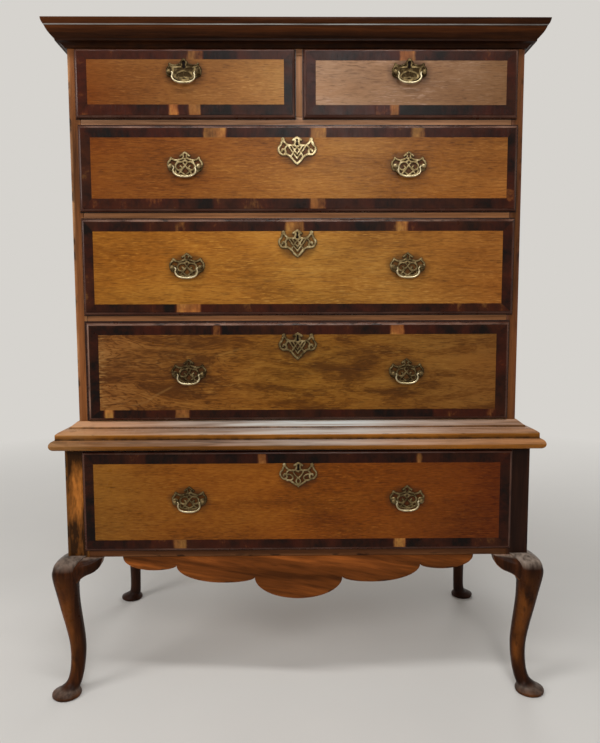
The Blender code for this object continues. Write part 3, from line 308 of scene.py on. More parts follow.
# Look of each drawer's oak: sway of the grain, streaks per metre across it and along it, contrast,
# strength of the dark arches, and tint at the left, the middle and the right, partly the oak's own colour
# and partly painted light: a painted sheen over the short drawers, strongest on the right one, and
# painted shade towards the right of the stand drawer
OAK_LOOKS = {
    "short_left": (0.002, 90.0, 4.5, 0.22, 0, ((0.40, 0.22, 0.08), (0.96, 1.10, 1.50), (0.96, 1.10, 1.50))),
    "short_right": (0.002, 90.0, 4.5, 0.30, 0, ((1.13, 1.66, 5.60), (1.13, 1.66, 5.60), (0.51, 0.60, 1.30))),
    "upper_long": (0.002, 80.0, 4.0, 0.17, 0, ((0.40, 0.23, 0.07), (0.86, 0.82, 0.74), (0.72, 0.62, 0.62))),
    "middle_long": (0.003, 85.0, 4.0, 0.17, 0, ((0.81, 0.74, 0.41), (1.05, 1.09, 0.86), (0.77, 0.69, 0.66))),
    "lower_long": (0.01, 52.0, 2.4, 0.14, 0.62, ((0.55, 0.52, 0.68), (0.63, 0.63, 0.39), (0.42, 0.37, 0.34))),
    "stand": (0.003, 80.0, 4.0, 0.15, 0, ((0.59, 0.57, 0.38), (0.68, 0.48, 0.19), (0.32, 0.14, 0.06))),
}
# Pale veins of the figured drawer: start and end, x and z
PALE_VEINS = (
    ((-0.380, 0.671), (-0.340, 0.681)), ((-0.345, 0.679), (-0.324, 0.694)),
    ((-0.330, 0.691), (-0.282, 0.717)), ((-0.187, 0.784), (-0.126, 0.802)),
)
HANDLE_PLACE = 0.2455                          # from the middle of the chest to its handles
HANDLE_HALO = (0.045, 0.029)                   # half width and half height of the dark halo round a handle: old polish, and painted shade under the brass
HANDLE_HALO_RISE = 0.003                       # of its middle above the hinge line
LOCK_HALO = (0.042, 0.032)                     # half width and half height of that round a lock

# The stage: lamps as name, place, size and power, the place that they look at, and the floor
LAMPS = (
    ("front_lamp", (0.25, -3.2, 2.45), (1.0, 1.0), 30.0),
    ("left_lamp", (-2.6, -1.9, 1.9), (1.4, 1.4), 34.0),
    ("top_lamp", (-0.2, -1.3, 2.9), (2.2, 0.35), 28.0),
    ("back_lamp", (0.8, 3.2, 2.0), (2.0, 2.0), 30.0),
)
LIT_PLACE = (0.0, 0.0, 0.75)
ROOM_COLOUR = (1.0, 0.985, 0.96)
FLOOR_RADIUS = 9.0
FLOOR_RINGS, FLOOR_SECTORS = 19, 64
FLOOR_DROP = 0.0002                            # of the floor below the feet


def screen(red, green, blue):
    """A colour as a screen shows it, 0 to 255, as the linear colour that a shader takes."""
    seen = np.array((red, green, blue)) / 255
    return tuple(np.where(seen > 0.04045, ((seen + 0.055) / 1.055) ** 2.4, seen / 12.92))


# Near black, for pores, nicks and soil, and for painted shade in creases, under the mouldings and in the gaps
# round the drawers
NEAR_BLACK = screen(20, 10, 6)
GROUND = screen(214, 211, 206)


def corners(node):
    """Lowest and highest corner of a solid."""
    low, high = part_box(node)
    return np.array(low), np.array(high)


def is_short(name):
    """Whether a drawer is one of the two short ones, with one handle and a keyhole in its plate."""
    return name.startswith("short")


def handle_names(name):
    """Names of a drawer's handles."""
    return (name,) if is_short(name) else (f"{name}_left", f"{name}_right")


def handle_height(name):
    """Height of a drawer's hinge lines: the top of its solid bails less the radius of their pins."""
    return corners(f"{handle_names(name)[0]}_handle_bail")[1][Z] - PIN_RADIUS


def lock_height(name):
    """Height of the middle of a drawer's escutcheon."""
    low, high = corners(f"{name}_escutcheon")
    return (low[Z] + high[Z]) / 2


def unit(vectors):
    """Each vector divided by its length."""
    return vectors / np.maximum(np.linalg.norm(vectors, axis=-1, keepdims=True), 1e-12)


def hump(place, middle, reach):
    """One at the middle, falling off by e to the power of minus the squared distance in reaches."""
    return np.exp(-((place - middle) / reach) ** 2)


def climb(place, start, end):
    """Nought at the start and one at the end, straight between them and held outside."""
    return np.clip((place - start) / (end - start), 0, 1)


def quarter_round(share):
    """Height of a quarter round at a share of its width: the root of one less the square of the share
    left."""
    return np.sqrt(1 - (1 - share) ** 2)


def turns(count):
    """Angles all round, the last one short of the first."""
    return np.linspace(0, WHOLE_TURN, count, endpoint=False)


def grid_faces(rows, columns, closed):
    """Corner numbers of the quads between neighbouring rows and columns; closed joins the last column to
    the first."""
    low = np.arange(rows - 1)[:, None] * columns
    left = np.arange(columns if closed else columns - 1)[None, :]
    right = (left + 1) % columns
    return np.stack((low + left, low + right, low + columns + right, low + columns + left), axis=-1)


class Patch:
    """Points and faces of one surface, with a finish number for each face and values on points or faces."""

    def __init__(self, points, faces, finish=0, on_points=None, on_faces=None):
        def spread(value, places):
            """A value for each point or face."""
            return np.broadcast_to(value, places.shape[:-1]).reshape(-1)

        self.points = points.reshape(-1, 3)
        self.faces = faces.reshape(-1, 4)
        self.finish = spread(finish, faces)
        self.on_points = {label: spread(value, points) for label, value in (on_points or {}).items()}
        self.on_faces = {label: spread(value, faces) for label, value in (on_faces or {}).items()}


def grid_patch(points, closed=True, **values):
    """A patch over a grid of points."""
    return Patch(points, grid_faces(points.shape[0], points.shape[1], closed), **values)


def add_values(mesh, domain, patches, key):
    """Writes the patches' values as attributes of the mesh, with nought where a patch has none."""
    lengths = [len(patch.points if domain == "POINT" else patch.faces) for patch in patches]
    for label in sorted({label for patch in patches for label in getattr(patch, key)}):
        values = [getattr(patch, key).get(label, np.zeros(length)) for patch, length in zip(patches, lengths)]
        layer = mesh.attributes.new(label, "FLOAT", domain)
        layer.data.foreach_set("value", np.concatenate(values).astype(np.float32))


def close_mesh(mesh):
    """Makes points that meet one point, closes open ends and turns all faces outwards."""
    shape = bmesh.new()
    shape.from_mesh(mesh)
    bmesh.ops.remove_doubles(shape, verts=shape.verts, dist=WELD)
    bmesh.ops.dissolve_degenerate(shape, edges=shape.edges, dist=WELD)
    bmesh.ops.holes_fill(shape, edges=[edge for edge in shape.edges if edge.is_boundary], sides=0)
    bmesh.ops.recalc_face_normals(shape, faces=shape.faces)
    shape.to_mesh(mesh)
    shape.free()


def make_piece(name, patches, finishes, body, nodes=(), crease=35.0):
    """Joins patches into one closed piece that rides on a body and stands in for solids."""
    starts = np.cumsum([0] + [len(patch.points) for patch in patches[:-1]])
    points = np.concatenate([patch.points for patch in patches])
    faces = np.concatenate([patch.faces + start for patch, start in zip(patches, starts)])
    numbers = np.concatenate([patch.finish for patch in patches])
    mesh = bpy.data.meshes.new(name)
    mesh.from_pydata(points.tolist(), [], faces.tolist())
    mesh.polygons.foreach_set("material_index", numbers.astype(np.int32))
    add_values(mesh, "POINT", patches, "on_points")
    add_values(mesh, "FACE", patches, "on_faces")
    for finish in finishes:
        mesh.materials.append(finish)
    close_mesh(mesh)
    mesh.shade_smooth()
    mesh.set_sharp_from_angle(angle=math.radians(crease))
    piece = bpy.data.objects.new(name, mesh)
    bpy.context.scene.collection.objects.link(piece)
    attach(piece, body)
    if nodes:
        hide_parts(*nodes)


def smooth_way(stations, steps):
    """Catmull-Rom curve through rows of values, each span cut into equal steps and the ends held."""
    stations = np.asarray(stations, float)
    padded = np.concatenate((stations[:1], stations, stations[-1:]))
    before, start, end, after = (padded[lead:len(padded) - 3 + lead, None] for lead in range(4))
    share = (np.arange(steps) / steps)[None, :, None]
    curve = 0.5 * (2 * start + (end - before) * share
                   + (2 * before - 5 * start + 4 * end - after) * share ** 2
                   + (3 * start - before - 3 * end + after) * share ** 3)
    return np.concatenate((curve.reshape(-1, stations.shape[1]), stations[-1:]))


def rounded_section(width, height, edge, steps=3):
    """Outline of a rectangle with quarter-round corners: each corner's centre plus the radius times (cos,
    sin), and a point on the flat at either side of it. Returns the points, their normals and the wear of
    the corners."""
    angle = np.linspace(0, QUARTER_TURN, steps + 1)[None] + np.arange(4)[:, None] * QUARTER_TURN
    angle = np.concatenate((angle[:, :1], angle, angle[:, -1:]), axis=1)
    normal = np.stack((np.cos(angle), np.sin(angle)), axis=-1)
    along = np.stack((-np.sin(angle), np.cos(angle)), axis=-1)
    middle = np.array(((1, 1), (-1, 1), (-1, -1), (1, -1))) * (np.array((width, height)) / 2 - edge)
    flat = min(WORN_FLAT, 0.3 * min(width, height))
    ends = np.array((-1, *np.zeros(steps + 1), 1))
    points = middle[:, None] + edge * normal + along * flat * ends[None, :, None]
    return points.reshape(-1, 2), normal.reshape(-1, 2), np.tile(1 - np.abs(ends), 4)


def board(low, high, grain, edge, shift=0.0, finish=0, pale=0.0):
    """A board with rounded edges: a rounded rectangle carried along the grain and drawn in by a quarter round
    at both ends. As for every piece of wood, shift is its place in the figure of the wood, so that no two
    look alike."""
    low, high = np.array(low), np.array(high)
    across = [axis for axis in (X, Y, Z) if axis != grain]
    outline, normal, wear = rounded_section(*(high - low)[across], edge)
    turn = np.linspace(0, QUARTER_TURN, 4)
    inset, place = edge * (1 - np.sin(turn)), edge * (1 - np.cos(turn))
    spans = max(2, int((high - low)[grain] / BOARD_SPAN))
    inner = np.linspace(low[grain], high[grain], spans + 1)[1:-1]
    stations = np.concatenate((low[grain] + place, inner, high[grain] - place[::-1]))
    insets = np.concatenate((inset, 0 * inner, inset[::-1]))
    points = np.empty((len(stations), len(outline), 3))
    points[..., across] = ((low + high) / 2)[across] + outline[None] - insets[:, None, None] * normal[None]
    points[..., grain] = stations[:, None]
    end_wear = np.concatenate((np.ones(3), np.zeros(len(stations) - 6), np.ones(3)))
    values = {"wear": np.maximum(wear[None], end_wear[:, None]), "pale": pale}
    return grid_patch(points, finish=finish, on_points=values, on_faces={"shift": shift})


def arc(start, run, rise, swell, steps=9):
    """Points after start along a circular arc over (run, rise) that stands out by swell to the right of
    the way: along the chord by the sine of the angle, out from it by the difference of cosines."""
    chord = np.array((run, rise))
    if not swell:
        return (start + chord)[None]
    length = np.linalg.norm(chord)
    along = chord / length
    side = np.array((along[1], -along[0])) * math.copysign(1, swell)
    half = 2 * math.atan2(2 * abs(swell), length)
    radius = length / (2 * math.sin(half))
    angle = half * np.linspace(-1, 1, steps + 1)[1:, None]
    return (start + along * (radius * np.sin(angle) + length / 2)
            + side * radius * (np.cos(angle) - math.cos(half)))


def eased(outline, radius):
    """A closed outline with each corner cut twice: a point before it, one near it and one after it.
    Corners that stand out are lighter at the point near them, from use and from a painted highlight, and
    corners that lie in are darker, soiled and with painted crease shade, both by the sine of the turn."""
    before = np.roll(outline, 1, axis=0) - outline
    after = np.roll(outline, -1, axis=0) - outline
    reach = [np.minimum(radius, 0.4 * np.linalg.norm(way, axis=1))[:, None] for way in (before, after)]
    first = outline + unit(before) * reach[0]
    last = outline + unit(after) * reach[1]
    near = (first + 2 * outline + last) / 4
    back, on = unit(-before), unit(after)
    turn = np.repeat(back[:, 0] * on[:, 1] - back[:, 1] * on[:, 0], 3)
    wear = np.clip(turn, 0, 1) * np.tile((0, 1, 0), len(outline))
    return np.stack((first, near, last), axis=1).reshape(-1, 2), wear, np.clip(-turn, 0, 1)


def moulding(start, members, closing, case, edge, shift, worn_and_lit_from, ends=1.0, rubbed_and_lit=0.0):
    """A moulding round three sides: its outline of (out, height), carried down the left side, along the
    front and back along the right side, with x and y set out from the case by the outline's own reach, so
    the corners mitre. Each member's paleness, a painted sheen, and its darkness, partly soil and partly
    painted shade, hold over its own length and change at its corners, and the painted sheen fades from the
    middle of the front to its ends, down to the given share. The left end is lightened all over by use, by
    the given share."""
    outline, looks = [np.array((start,))], []
    for run, rise, swell, *look in members:
        outline.append(arc(outline[-1][-1], run * MM, rise * MM, swell * MM))
        looks += [look] * len(outline[-1])
    looks = np.array(looks + [(0.0, 0.0)] * (len(closing) + 1))
    before = np.roll(looks, 1, axis=0)
    pale, dirt_and_shade = np.stack((before, (looks + before) / 2, looks), axis=1).reshape(-1, 2).T[:, None]
    outline, wear, grime = eased(np.concatenate(outline + [np.array(closing)]), edge)
    out, height = outline[:, :1], outline[:, 1:]
    wear = wear * climb(outline[:, 1], worn_and_lit_from, worn_and_lit_from + WORN_AND_LIT_RISE)
    half, front, back = case
    side = np.linspace(0, 1, SIDE_SPANS + 1)[None]
    run = np.linspace(-1, 1, FRONT_SPANS + 1)[None, 1:-1]
    x = np.concatenate((-(half + out) + 0 * side, (half + out) * run, half + out + 0 * side), axis=1)
    y = np.concatenate((back + (front - out - back) * side, front - out + 0 * run,
                        front - out + (back - front + out) * side), axis=1)
    points = np.stack((x, y, height + 0 * x), axis=-1).swapaxes(0, 1)
    sides = np.repeat((1, 0, 1), (SIDE_SPANS, FRONT_SPANS, SIDE_SPANS))[:, None]
    fade = ends + (1 - ends) * hump(x.T, SHEEN_MIDDLE, SHEEN_REACH)
    left = rubbed_and_lit * climb(x.T, RUBBED_FROM, RUBBED_TO)
    values = {"wear": np.maximum(wear[None], left), "grime": np.maximum(grime, dirt_and_shade), "pale": pale * fade}
    return grid_patch(points, finish=sides, on_points=values, on_faces={"shift": shift + sides * 0.37})


def leg_stations(pad, curve):
    """Heights, widths, throws and squareness of a leg from the floor up: a rounded pad, then the curve."""
    width, throw = pad
    rise = LEG_HEIGHT - PAD_HEIGHT
    curve = [(PAD_HEIGHT + share * rise, wide * MM, out * MM, square) for share, wide, out, square in curve]
    across = SHOULDER * width + (1 - SHOULDER) * curve[0][1]
    shoulder = (PAD_HEIGHT, across, (2 * throw + curve[0][2]) / 3, CIRCLE)
    turn = np.linspace(0, QUARTER_TURN, 5)
    low = np.stack((PAD_ROUND * (1 - np.cos(turn)), width - 2 * PAD_ROUND * (1 - np.sin(turn)),
                    np.full(5, throw), np.full(5, CIRCLE)), axis=1)
    top = [(height, width - loss, throw, CIRCLE) for height, loss in PAD_RIM]
    return np.concatenate((low, top, smooth_way([shoulder, *curve], 12)))


def leg(centre, lean, stations, shift, sides=48):
    """A leg as superellipses carried up the stations: x and y are the signed powers 2/squareness of
    cosine and sine times half the width, thrown out along the diagonal, at the foot a little more to the
    side. A light streak down its front, turned towards the light, is a painted highlight, the rim of its pad
    is lightened by use, and the knee and the pad carry a painted sheen, the right knee more."""
    angle = turns(sides)[None]
    height, width, throw, square = np.split(stations, 4, axis=1)
    splay = 1 + FOOT_SPLAY * climb(height, *SPLAYED)

    def reach(wave):
        """The signed power of a wave times half the width."""
        return np.sign(wave) * np.abs(wave) ** (2 / square) * width / 2

    across = reach(np.cos(angle)) + lean[0] * throw * splay + centre[0]
    along = reach(np.sin(angle)) + lean[1] * throw + centre[1]
    streak = (0.5 - 0.5 * np.sin(angle + STREAK_TURN)) ** 7
    streak = streak * climb(height, *STREAK_FOOT) * climb(height, *STREAK_TOP)
    knee, pad = climb(height, *KNEE_SHINE), hump(height, *PAD_SHINE)
    # Lighter: the pad's rim from use and the streak as a painted highlight; pale: painted sheen at the knee
    # and on the pad
    values = {"wear": np.maximum(0.5 * hump(height, *PAD_WEAR), 0.62 * streak),
              "grime": 0.6 * hump(height, *PAD_GRIME), "pale": (0.6 + 0.2 * lean[0]) * knee + 0.4 * pad}
    points = np.stack((across, along, height + 0 * angle), axis=-1)
    return grid_patch(points, on_points=values, on_faces={"shift": shift})


def bracket(shift, sheen):
    """A knee bracket that reaches along +X from a post at the origin. Its depth follows a smooth curve
    over the share of its reach, hollow by the leg and blunt at the tip, and its swell is one less the
    share squared; a smooth face bulges most at two fifths of the depth. Its upper part carries a painted
    sheen by the given share."""
    share, depth = smooth_way(BRACKET_DEPTHS, 3).T[..., None]
    down, out = smooth_way(BRACKET_FACE, 4).T[:, None]
    depth = depth * BRACKET_DROP
    front = -POST / 2 - BRACKET_PROUD - out * BRACKET_SWELL * (1 - share ** 2)
    inner = BRACKET_THICKNESS - POST / 2 + 0 * share
    low, foot = front[:, -1:], LEG_HEIGHT - depth
    behind, under = np.array(BRACKET_EDGE).T
    y = np.concatenate((front, low + behind, inner, inner), axis=1)
    face, top = LEG_HEIGHT - down * depth, LEG_HEIGHT + 0 * share
    z = np.concatenate((face, foot - under, foot, top), axis=1)
    x = BRACKET_ROOT + (POST / 2 + BRACKET_REACH - BRACKET_ROOT) * share + 0 * y
    wear, pale = np.zeros((2, 1, y.shape[1]))
    wear[:, :2], wear[:, -5:-2] = 0.5, 1.0
    pale[:, :4] = sheen * np.array(BRACKET_SHEEN)
    points = np.stack((x, y, z), axis=-1)
    return grid_patch(points, on_points={"wear": wear, "pale": pale}, on_faces={"shift": shift})


def shaped_board(along, lower, top, front, thickness, shift):
    """A board with a shaped lower edge: at each place along it, a section down the front, round the lower
    edge and up the back, between the top and the height of the lower edge."""
    share, depth, lift, wear = np.array(SHAPED_SECTION).T
    share, lift, wear = (np.concatenate((values, values[::-1]))[None] for values in (share, lift, wear))
    depth = np.concatenate((depth, thickness - depth[::-1]))[None]
    height = top + (lower[:, None] + lift - top) * share
    points = np.stack((along[:, None] + 0 * height, front + depth + 0 * height, height), axis=-1)
    return grid_patch(points, on_points={"wear": wear}, on_faces={"shift": shift})


def apron_edge():
    """The apron's lower edge from left to right. Each lobe is two quarter waves: x by one less the cosine
    and depth by the sine down to the lowest point, then x by the sine and depth by one less the
    cosine."""
    angle = np.linspace(0, QUARTER_TURN, 13)
    fall = np.stack((1 - np.cos(angle), np.sin(angle)), axis=1)
    start, lowest, end = np.array(APRON_LOBES).swapaxes(0, 1)[:, :, None]
    halves = (start + (lowest - start) * fall, (lowest + (end - lowest) * fall[:, ::-1])[:, 1:])
    half = np.concatenate(halves, axis=1).reshape(-1, 2)
    half = half[np.concatenate(([True], np.abs(np.diff(half[:, 0])) > 1e-6))]
    whole = np.concatenate((half[:-1] * (-1, 1), half[::-1]))
    return whole[:, 0], LEG_HEIGHT - whole[:, 1]


def band_pieces(start, end, light, maker):
    """Joints and tones of the crossband along one side: light pieces at their places, others of chance
    length."""
    chance = start + np.cumsum(maker.uniform(*PIECE_LENGTHS, MOST_PIECES))
    chance = chance[chance < end - END_PIECE]
    for low, high in light:
        chance = chance[(chance < low - LIGHT_MARGIN) | (chance > high + LIGHT_MARGIN)]
    joints = np.sort(np.concatenate((chance, np.array(light).reshape(-1))))
    middles = (np.concatenate(((start,), joints)) + np.concatenate((joints, (end,)))) / 2
    tones = np.clip(maker.normal(*BAND_TONES, len(middles)), *TONE_LIMITS)
    for low, high in light:
        tones[(middles > low) & (middles < high)] = maker.uniform(*LIGHT_TONES)
    return joints, tones


def drawer_front(low, high, name, lip):
    """A lipped drawer front as one grid: a profile of inset and depth, from the middle of the face out
    over the band and the lip, round a dark flange at its back, a painted shadow of the gap round the drawer,
    and in to the tongue, carried round the rectangle. At each inset the points lie on the rectangle drawn in
    by that much, each side by its own, so corners mitre, and at the deepest inset they meet on the middle
    line."""
    maker = np.random.default_rng(FIRST_SEED + DRAWERS.index(name))
    grow, band, gap = (np.array(values) * MM for values in FRONT_EDGES[name])
    low, high = low - (grow[0], 0, grow[2]), high + (grow[1], 0, grow[3])
    middle = (high[Z] - low[Z]) / 2
    curve = np.linspace(0, QUARTER_TURN, len(LIP_WEAR_AND_HIGHLIGHT))
    lip_in, lip_back = lip * (1 - np.sin(curve)), LIP_START + LIP_ROUND * (1 - np.cos(curve))
    # Rows of the profile: inset from the edge, depth behind the face, lightness, from a little use and mostly
    # a painted highlight, and darkness, a painted shadow of the gap round the drawer
    face = [(middle, 0, 0, 0), (lip + band, 0, 0, 0), (lip + 0.006, 0, 0, 0), (lip + 0.0007, 0, 0.3, 0),
            (lip + 0.0003, 0.0004, 0.8, 0)]
    back = [(0, 0.0091, 0, 0.6), (-gap, 0.0093, 0, 1), (-gap, 0.0097, 0, 1), (0.001, 0.0097, 0, 1),
            (TONGUE + grow, 0.0097, 0, 0), (TONGUE + grow, 0.0218, 0, 0), (middle, 0.0220, 0, 0)]
    inset, depth, wear, grime = zip(*face, *zip(lip_in, lip_back, LIP_WEAR_AND_HIGHLIGHT, 0 * curve), *back)
    inset = np.array([np.broadcast_to(value, 4) for value in inset])
    depth, wear, grime = (np.array(values)[:, None] for values in (depth, wear, grime))

    margin = lip + band.max() + BAND_MARGIN
    level, upright = (low[X] + margin, high[X] - margin), (low[Z] + margin, high[Z] - margin)
    top_light, bottom_light = LIGHT_PIECES[name]
    top = band_pieces(*level, top_light, maker)
    bottom = band_pieces(*level, bottom_light, maker)
    left = band_pieces(*upright, (), maker)
    right = band_pieces(*upright, (), maker)

    def cuts(first, second, ends):
        """Places on both sides of the joints of two sides that face each other, and the ends."""
        joints = np.add.outer(np.union1d(first[0], second[0]), (-JOINT_BLUR, JOINT_BLUR))
        return np.unique(np.concatenate((joints.ravel(), ends)))

    def side(corner, places, start, end):
        """Places along one side: its mitre corner, then its cuts held between the mitres."""
        return np.concatenate((corner, np.clip(places[None], start, end)), axis=1)

    def toned(places, pieces):
        """Tones along one side: that of its first piece at the mitre, then that of the piece at each cut."""
        joints, tones = pieces
        found = tones[np.searchsorted(joints, places)]
        return np.concatenate((found[:1], found))

    across, along = cuts(top, bottom, level), cuts(left, right, upright)
    x_low, x_high = low[X] + inset[:, :1], high[X] - inset[:, 1:2]
    z_low, z_high = low[Z] + inset[:, 2:3], high[Z] - inset[:, 3:]
    x_on, x_back = side(x_low, across, x_low, x_high), side(x_high, across[::-1], x_low, x_high)
    z_on, z_back = side(z_low, along, z_low, z_high), side(z_high, along[::-1], z_low, z_high)
    x = np.concatenate((x_on, x_high + 0 * z_on, x_back, x_low + 0 * z_back), axis=1)
    z = np.concatenate((z_low + 0 * x_on, z_on, z_high + 0 * x_back, z_back), axis=1)
    points = np.stack((x, low[Y] + depth + 0 * x, z), axis=-1)
    tones = (toned(across, bottom), toned(along, right), toned(across[::-1], top), toned(along[::-1], left))
    number = np.concatenate([np.full(len(tone), count) for count, tone in enumerate(tones)])[None]
    standing = number % 2
    rows = np.arange(len(inset) - 1)[:, None]
    band_end, lip_end = len(face) - 1, len(face) + len(curve) + 2
    trim = np.where(rows < band_end, 1 + standing, np.where(rows < lip_end, 3 + standing, 5))
    finish = np.where(rows == 0, 0, trim)
    # Lips lighter by side: mostly a painted highlight
    rubbed_and_lit = np.array(LIP_SIDE_HIGHLIGHTS[name])[number]
    values = {"wear": wear * rubbed_and_lit, "grime": grime, "tone": np.concatenate(tones)[None]}
    return grid_patch(points, finish=finish, on_points=values, on_faces={"shift": DRAWERS.index(name) * 1.31})


def strap_field(x, z, straps, rounds, weight, holes=None, squash=(1.0, 1.0, 1.0)):
    """Signed distance from the edge of pierced brass, inside it less than nought: to the nearest strap's
    middle line less its half width, or to a round's centre less its radius, and at least the depth inside
    a hole. Wings past the posts, the upper and the lower half are drawn in by the three factors of
    squash."""
    wing, upper, lower = squash
    across = np.abs(x)
    across = np.where(across > POST_SPREAD, POST_SPREAD + (across - POST_SPREAD) / wing, across)
    up = np.where(z > 0, z / upper, z / lower)
    place = np.stack((across, up), axis=-1)[:, None]
    field = np.full(x.shape, FAR)
    for half_width, way in straps:
        line = smooth_way(way, 6)
        start, span = line[:-1], np.diff(line, axis=0)
        share = np.clip(((place - start) * span).sum(-1) / (span ** 2).sum(-1), 0, 1)
        away = np.linalg.norm(place - start - share[..., None] * span, axis=-1).min(1)
        field = np.minimum(field, away - weight * half_width)
    for middle, height, radius in rounds:
        field = np.minimum(field, np.hypot(across - middle, up - height) - radius)
    return np.maximum(field, -holes(x, z)) if holes else field


def keyhole_field(x, z):
    """Signed distance from the edge of a keyhole: a round eye and a slot that widens to its foot."""
    (eye, eye_radius), (foot, foot_radius) = KEYHOLE
    share = np.clip((eye - z) / (eye - foot), 0, 1)
    half_width = KEYHOLE_NECK + (foot_radius - KEYHOLE_NECK) * share
    slot = np.hypot(x, z - (eye + (foot - eye) * share)) - half_width
    return np.minimum(np.hypot(x, z - eye) - eye_radius, slot)


def cut_plate(field, step, edge, crown, easing, relief=None):
    """A flat casting cut from a field of signed distance, in millimetres. Grid cells whose middle is
    inside are kept, rim points slide down the field's slope onto its edge, and the front is crowned: from
    the rim inwards it rises as a quarter round. A second field of straps raises its relief in the same
    way. Walls join its rim to a flat back."""
    spread, rise = (np.arange(start, end + step, step) for start, end in (PLATE_SIDES, PLATE_ENDS))
    cells = grid_faces(len(rise), len(spread), False)
    middle_x, middle_z = np.meshgrid((spread[:-1] + spread[1:]) / 2, (rise[:-1] + rise[1:]) / 2)
    inside = (field(middle_x.ravel(), middle_z.ravel()) < 0).reshape(middle_x.shape)
    framed = np.pad(inside, 1).astype(int)
    count = (framed[:-1, :-1] + framed[:-1, 1:] + framed[1:, 1:] + framed[1:, :-1]).ravel()
    used = np.flatnonzero(count)
    rim = count[used] < 4
    across, up = (values.ravel()[used] for values in np.meshgrid(spread, rise))
    for _ in range(3):
        here = field(across, up)
        ahead = np.stack((field(across + PROBE, up), field(across, up + PROBE)), axis=-1)
        slope = (ahead - here[:, None]) / PROBE
        slide = unit(slope) * np.clip(here, -step, step)[:, None] * rim[:, None]
        across, up = across - slide[:, 0], up - slide[:, 1]
    deep = np.where(rim, 0, np.clip(-field(across, up) / easing, 0, 1))
    height = edge + (crown - edge) * quarter_round(deep)
    if relief:
        ridge = np.clip(-relief(across, up) / easing, 0, 1)
        height = edge + (height - edge) * (0.3 + 0.7 * quarter_round(ridge))
        deep = np.minimum(deep, 0.1 + 0.9 * ridge)
    total = len(used)
    number = np.full(len(count), -1)
    number[used] = np.arange(total)
    front = number[cells[inside]]
    # What lies under, right of, over and left of each cell, with the cell's corners on that side
    beside = ((framed[:-2, 1:-1], (0, 1)), (framed[1:-1, 2:], (1, 2)), (framed[2:, 1:-1], (2, 3)),
              (framed[1:-1, :-2], (3, 0)))
    rims = number[np.concatenate([cells[inside & (other == 0)][:, pair] for other, pair in beside])]
    walls = np.stack((rims[:, 1], rims[:, 0], rims[:, 0] + total, rims[:, 1] + total), axis=-1)
    points = np.concatenate([np.stack((across, depth, up), axis=-1) for depth in (-height, 0 * height)])
    faces = np.concatenate((front, front[:, ::-1] + total, walls))
    return points * MM, faces, np.concatenate((1 - deep, np.ones(total)))


def placed(plate, across, face, up, patina=0.0):
    """A cut plate set on a drawer front at a place."""
    points, faces, grime = plate
    return Patch(points + (across, face, up), faces, on_points={"grime": grime}, on_faces={"patina": patina})


def turned_post(across, face, up, patina):
    """A handle post: standoff and radius carried round the post's axis, which points out of the drawer
    front."""
    standoff, radius = smooth_way(POST_TURNING, 2).T[..., None] * MM
    radius = np.maximum(radius, 0)
    angle = turns(20)[None]
    points = (across + radius * np.cos(angle), face - standoff + 0 * angle, up + radius * np.sin(angle))
    neck = hump(standoff, 0.0052, 0.0016)
    return grid_patch(np.stack(points, axis=-1), on_points={"grime": neck}, on_faces={"patina": patina})


def bail_tube(across, hinge, up, wire):
    """A bail: rings round a smooth path, each set square to it, thicker towards the middle of the drop."""
    half = smooth_way(BAIL_PATH, 5) * MM
    path = np.concatenate((half, half[-2::-1] * (-1, 1)))
    way = unit(np.gradient(path, axis=0))
    side = np.stack((-way[:, 1], way[:, 0]), axis=-1)[:, None]
    angle = turns(14)[None, :, None]
    swell = 1 + BAIL_SWELL * hump(path[:, 0], 0, 0.012) * climb(path[:, 1], 0, -0.02)
    radius = wire * swell[:, None, None]
    flat = path[:, None] + side * np.cos(angle) * radius
    out = hinge + (np.sin(angle) * radius)[..., 0]
    return grid_patch(np.stack((across + flat[..., 0], out, up + flat[..., 1]), axis=-1))


class Mixer:
    """Short calls on a node tree, each of which adds a node, sets it and gives its output."""

    def __init__(self, tree):
        self.tree = tree

    def put(self, socket, value):
        """Links an output to a socket, or writes a plain value there, a colour with full alpha."""
        if isinstance(value, bpy.types.NodeSocket):
            self.tree.links.new(value, socket)
        else:
            socket.default_value = (*value, 1.0) if socket.type == "RGBA" else value

    def add(self, kind, sockets=None, **settings):
        """Adds a node with settings, fills sockets by name or number and gives the outputs."""
        node = self.tree.nodes.new(kind)
        for label, value in settings.items():
            setattr(node, label, value)
        for socket, value in (sockets or {}).items():
            self.put(node.inputs[socket], value)
        return node.outputs

    def maths(self, operation, first, second=0.0, clamp=False):
        """One operation on one or two values."""
        return self.add("ShaderNodeMath", {0: first, 1: second}, operation=operation, use_clamp=clamp)[0]

    def looked_at(self):
        """One where the camera, a mirror or glass looks straight at the surface, nought elsewhere."""
        path = self.add("ShaderNodeLightPath")
        reflected = self.maths("MAXIMUM", path["Is Glossy Ray"], path["Is Transmission Ray"])
        return self.maths("MAXIMUM", path["Is Camera Ray"], reflected)


